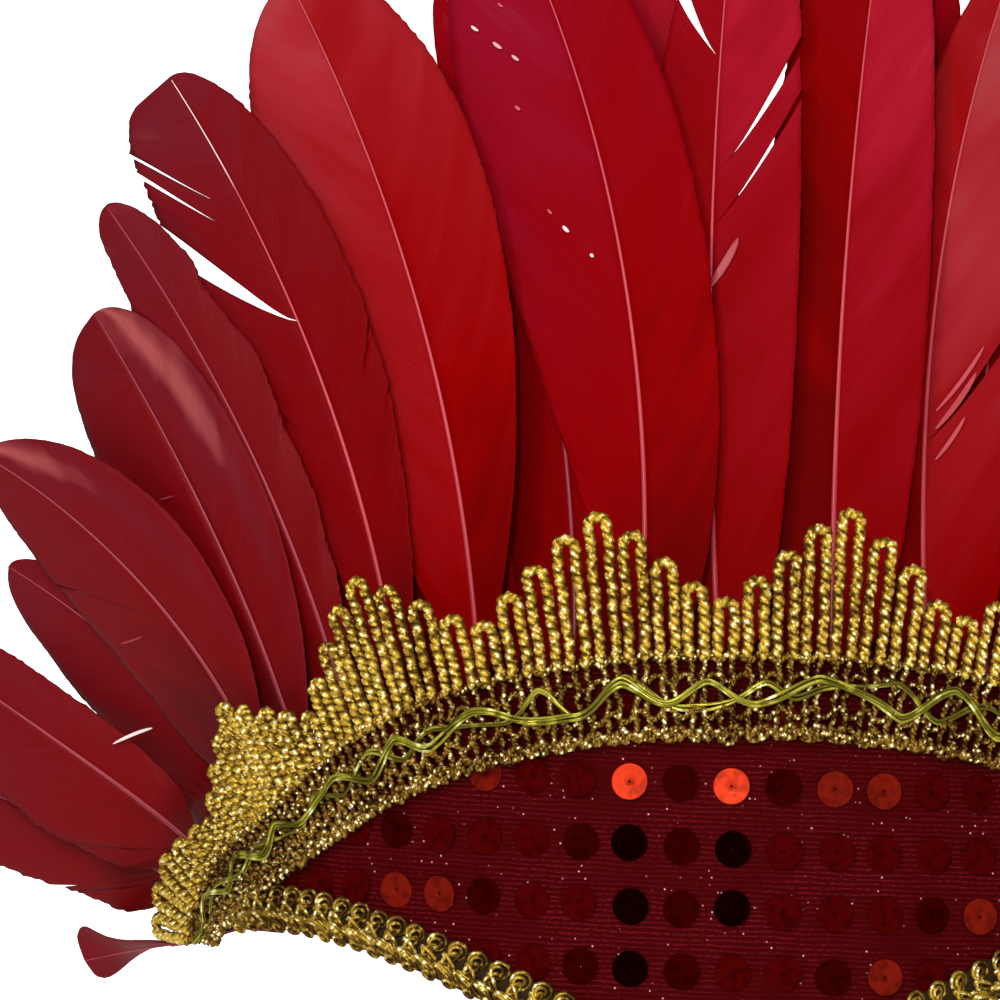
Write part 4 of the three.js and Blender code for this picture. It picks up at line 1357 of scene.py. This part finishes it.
@dataclass
class FeatherFan:
    """All feathers, from the left tip to the right."""
    usual: tuple[float, float] = (0.4, 0.5)
    # root, foot, rise, curl, length, left, right, layer, bare and dye, as in Feather
    rows: tuple[tuple, ...] = (
        (68.3, -8.8, 97, 8, 28, 5.4, 6.8, -0.7, 13, Dye.WINE),
        (65.3, -6.9, 66, 8, 76, 12.4, 12, 0.45, 18, Dye.WINE),
        (60.5, -4.3, 54, 9, 84, 15, 7.8, 0.1, 17, Dye.WINE),
        (53.3, -3.8, 38.2, 25, 88, 17, 10, 1.3, 20, Dye.WINE),
        (50.4, -2.2, 20.8, 43.5, 101, 16, 12.6, -0.26, 22, Dye.WINE),
        (45.7, 0.0, 21.4, 18.4, 109.5, 16.5, 12, -0.12, 22, Dye.WINE),
        (42.6, 0.5, 19, 22, 106, 11, 11, 1, 22, Dye.CRIMSON),
        (39.6, 1.0, 16.8, 25.6, 129, 10.5, 8.6, 0.03, 22, Dye.WINE),
        (34.5, 2.0, 10.2, 28.8, 147, 14.8, 11.9, 0, 22, Dye.MAROON),
        (30.4, 4.0, 8, 27, 136, 12, 12, 1, 22, Dye.CRIMSON),
        (26.4, 6.0, 5.6, 27.1, 155.5, 20, 17.4, 0, 22, Dye.SCARLET),
        (19.2, 9.0, -1, 29, 148, 13.5, 13, 1, 17, Dye.CRIMSON),
        (12.1, 11.0, -7, 34.8, 163, 20.8, 14.2, 0, 23, Dye.MAGENTA),
        (6.5, 12.0, -4.9, 22.3, 158, 12, 12, 1, 24, Dye.RED),
        (0.7, 12.0, 5.1, -11.6, 162, 11.4, 14.3, 0, 24, Dye.RED),
        (-4.3, 12.0, 1.5, -7.5, 106, 12, 12, 1, 24, Dye.CRIMSON),
        (-9.5, 12.0, -1.8, -10.4, 164, 13.4, 13.7, 0, 24, Dye.RED),
        (-15.5, 11.0, 0.5, -19, 152, 13, 13, 1, 23, Dye.CRIMSON),
        (-21.2, 9.0, 2.2, -27.6, 152, 9.6, 16, 0, 23, Dye.SCARLET),
        (-27.5, 6.0, -0.5, -22, 145, 12.1, 13, 0, 22, Dye.RED),
        (-31.0, 4.5, -5, -25, 140, 12, 12, 1, 22, Dye.CRIMSON),
        (-34.5, 2.0, -9, -28, 146, 14, 17, 0, 22, Dye.SCARLET),
        (-40.0, 1.0, -17, -25, 130, 11, 11, 0, 22, Dye.MAROON),
        (-43.2, 0.5, -19, -22, 108, 11, 11, 1, 22, Dye.CRIMSON),
        (-46.2, 0.0, -22, -19, 110, 13, 14, 0, 22, Dye.WINE),
        (-51.0, -2.2, -26, -38, 106, 12, 16, 0, 22, Dye.WINE),
        (-54.0, -3.8, -39, -24, 88, 10, 11, 0.25, 22, Dye.CRIMSON),
        (-60.5, -4.3, -53, -10, 83, 13, 13, 0.25, 20, Dye.WINE),
        (-65.3, -6.9, -67, -7, 76, 12, 15, 0.15, 18, Dye.WINE),
        (-68.3, -9.2, -93, -11, 34, 6.4, 6, 0.75, 13, Dye.WINE))
    left_powers: dict[int, tuple[float, float]] = field(default_factory=lambda: {
        1: (0.3, 0.2), 2: (0.25, 0.3), 4: (0.15, 0.5), 5: (0.3, 0.5), 6: (0.5, 0.36), 8: (0.4, 0.4),
        9: (0.8, 0.22), 10: (0.15, 0.5), 11: (0.9, 0.5), 12: (0.15, 0.5), 13: (1.0, 0.5),
        17: (0.4, 0.35)})
    right_powers: dict[int, tuple[float, float]] = field(default_factory=lambda: {
        1: (0.3, 0.2), 3: (0.3, 0.3), 4: (0.15, 0.5), 5: (0.9, 0.7), 6: (0.7, 0.5), 8: (0.8, 0.5),
        9: (0.95, 0.52), 10: (0.15, 0.5), 11: (1.1, 0.5), 12: (0.15, 0.5), 13: (0.4, 0.35),
        14: (0.4, 0.6), 15: (0.4, 0.35)})
    splits: dict[int, tuple[Split, ...]] = field(default_factory=lambda: {
        2: (Split(1, 0.40, 0.75, 2.5),),
        5: (Split(1, 0.70, 0.63, 2.0),),
        8: (Split(1, 0.78, 0.5, 1.0),),
        9: (Split(1, 0.80, 0.0, 9.0), Split(1, 0.91, 0.22, 2.6), Split(1, 0.935, 0.36, 1.3)),
        15: (Split(-1, 0.76, 0.10, 3.8), Split(-1, 0.705, 0.0, 1.8), Split(1, 0.84, 0.1, 5.0)),
        19: (Split(-1, 0.53, 0.0, 4.0),)})
    flecks: dict[int, tuple[Fleck, ...]] = field(default_factory=lambda: {
        3: (Fleck(0.297, -8.6, 8.0, 0.28, 1.0, 127.0),),
        5: (Fleck(0.45, 9.0, 5.0, 0.14, 0.3, 60.0),), 6: (Fleck(0.60, 5.0, 3.0, 0.12, 0.4, 70.0),),
        13: (Fleck(0.844, 13.1, 1.6, 0.25, 0.95), Fleck(0.812, 10.6, 2.0, 0.3, 0.9),
             Fleck(0.858, 7.8, 1.2, 0.2, 0.8), Fleck(0.788, 8.5, 1.6, 0.25, 0.9),
             Fleck(0.727, 10.7, 1.2, 0.3, 0.7), Fleck(0.588, 10.0, 1.2, 0.22, 0.7),
             Fleck(0.561, 8.0, 1.6, 0.3, 1.0), Fleck(0.520, 4.6, 0.8, 0.28, 1.0)),
        15: (Fleck(0.49, -1.9, 10.0, 0.8, 0.04),),
        19: (Fleck(0.38, -4.6, 12.0, 0.5, 0.22), Fleck(0.33, -4.0, 9.0, 0.35, 0.3),
             Fleck(0.41, -5.0, 14.0, 0.35, 0.3))})
    # Strength of each feather's painted highlight stripe along its right vane.
    highlight_bands: dict[int, float] = field(default_factory=lambda: {3: 0.2, 5: 0.4, 6: 0.45, 26: 0.4, 25: 0.3})
    # Per side, a shift of the vane's tone towards painted light (up) or painted shade (down).
    tones: dict[int, tuple[float, float]] = field(default_factory=lambda: {
        5: (-0.1, 0.1), 6: (-0.1, 0.15), 9: (0.0, -0.1), 11: (0.12, -0.15), 13: (0.05, -0.1),
        15: (-0.15, 0.15), 17: (-0.35, 0.2), 19: (-0.2, 0.3), 20: (-0.3, -0.1)})
    ragged: dict[int, float] = field(default_factory=lambda: {
        2: 0.05, 3: 0.02, 8: 0.10, 9: 0.02, 29: 0.04, 30: 0.04})

    def build(self) -> None:
        """Builds each feather in turn."""
        for number, row in enumerate(self.rows, 1):
            powers = (self.left_powers.get(number, self.usual), self.right_powers.get(number, self.usual))
            Feather(number, *row, powers=powers, splits=self.splits.get(number, ()),
                    flecks=self.flecks.get(number, ()), tones=self.tones.get(number, (0.0, 0.0)),
                    band=self.highlight_bands.get(number, 0.0), bright=0.35 if number == 9 else 0.0,
                    ragged=self.ragged.get(number, 0.008)).build()


# Studio

@dataclass
class Studio:
    """Floor, backdrop, soft lights and the camera."""
    camera_at: Place = (-0.0374, -1.3, 0.062)
    lens: float = 279.0
    sensor: float = 36.0
    aim: Place = (-0.02, -0.06, 0.05)
    floor_at: float = -0.3
    backdrop_at: float = 4.0
    sky: Colour = (0.9, 0.93, 1.0)
    sky_power: float = 0.16
    # name, place, size and power of each light
    lights: tuple[tuple[str, Place, float, float], ...] = (
        ("key", (-0.5, -1.4, 0.8), 0.90, 12.0), ("fill", (0.8, -1.3, 0.4), 0.80, 4.0),
        ("front", (-0.15, -1.7, 0.35), 0.07, 9.0), ("spark", (-0.7, -1.0, 0.9), 0.05, 3.0),
        ("rear", (0.0, 1.0, 0.9), 0.60, 3.0))

    def plane(self, name: str, corners: list[Place], finish: Finish) -> None:
        """A flat piece of the studio.

        Args:
            name: its name.
            corners: its four corners in turn.
            finish: its paint.
        """
        mesh = bpy.data.meshes.new(name)
        mesh.from_pydata(corners, [], [(0, 1, 2, 3)])
        mesh.materials.append(finish.material())
        made = bpy.data.objects.new(name, mesh)
        bpy.context.scene.collection.objects.link(made)

    def light(self, name: str, at: Place, size: float, power: float) -> None:
        """A square soft light that points at the headdress.

        Args:
            name: its name.
            at: its place.
            size: the length of its side.
            power: its power in watts.
        """
        data = bpy.data.lights.new(name, "AREA")
        data.energy, data.size = power, size
        made = bpy.data.objects.new(name, data)
        made.location = at
        made.rotation_euler = (Vector(self.aim) - Vector(at)).to_track_quat("-Z", "Y").to_euler()
        bpy.context.scene.collection.objects.link(made)

    def build(self) -> None:
        """Sets up the studio."""
        scene = bpy.context.scene
        data = bpy.data.cameras.new("camera")
        data.lens, data.sensor_width, data.clip_end = self.lens, self.sensor, 20.0
        camera = bpy.data.objects.new("camera", data)
        camera.location = self.camera_at
        camera.rotation_euler = (np.pi / 2, 0.0, 0.0)
        scene.collection.objects.link(camera)
        scene.camera = camera
        low, back = self.floor_at, self.backdrop_at
        self.plane("floor", [(-5.0, -7.0, low), (5.0, -7.0, low), (5.0, back, low), (-5.0, back, low)],
                   Ground("floor_paint", 0.3))
        self.plane("backdrop", [(-3.0, back, low), (3.0, back, low), (3.0, back, 3.0), (-3.0, back, 3.0)],
                   Ground("backdrop_paint", 1.0))
        for name, at, size, power in self.lights:
            self.light(name, at, size, power)
        world = bpy.data.worlds.new("studio")
        world.use_nodes = True
        sky = world.node_tree.nodes["Background"].inputs
        sky[0].default_value = (*self.sky, 1.0)
        sky[1].default_value = self.sky_power
        scene.world = world
        scene.view_settings.view_transform = "Standard"


def main() -> None:
    """Builds the headdress and its studio."""
    logging.basicConfig(level=logging.INFO, format="%(name)s %(message)s")
    Studio().build()
    band = Band()
    ForeheadPanel(band).build()
    CrownLace(band).build()
    EdgeBraid(band).build()
    HeadStrap().build()
    FeatherFan().build()


if __name__ == "__main__":
    main()
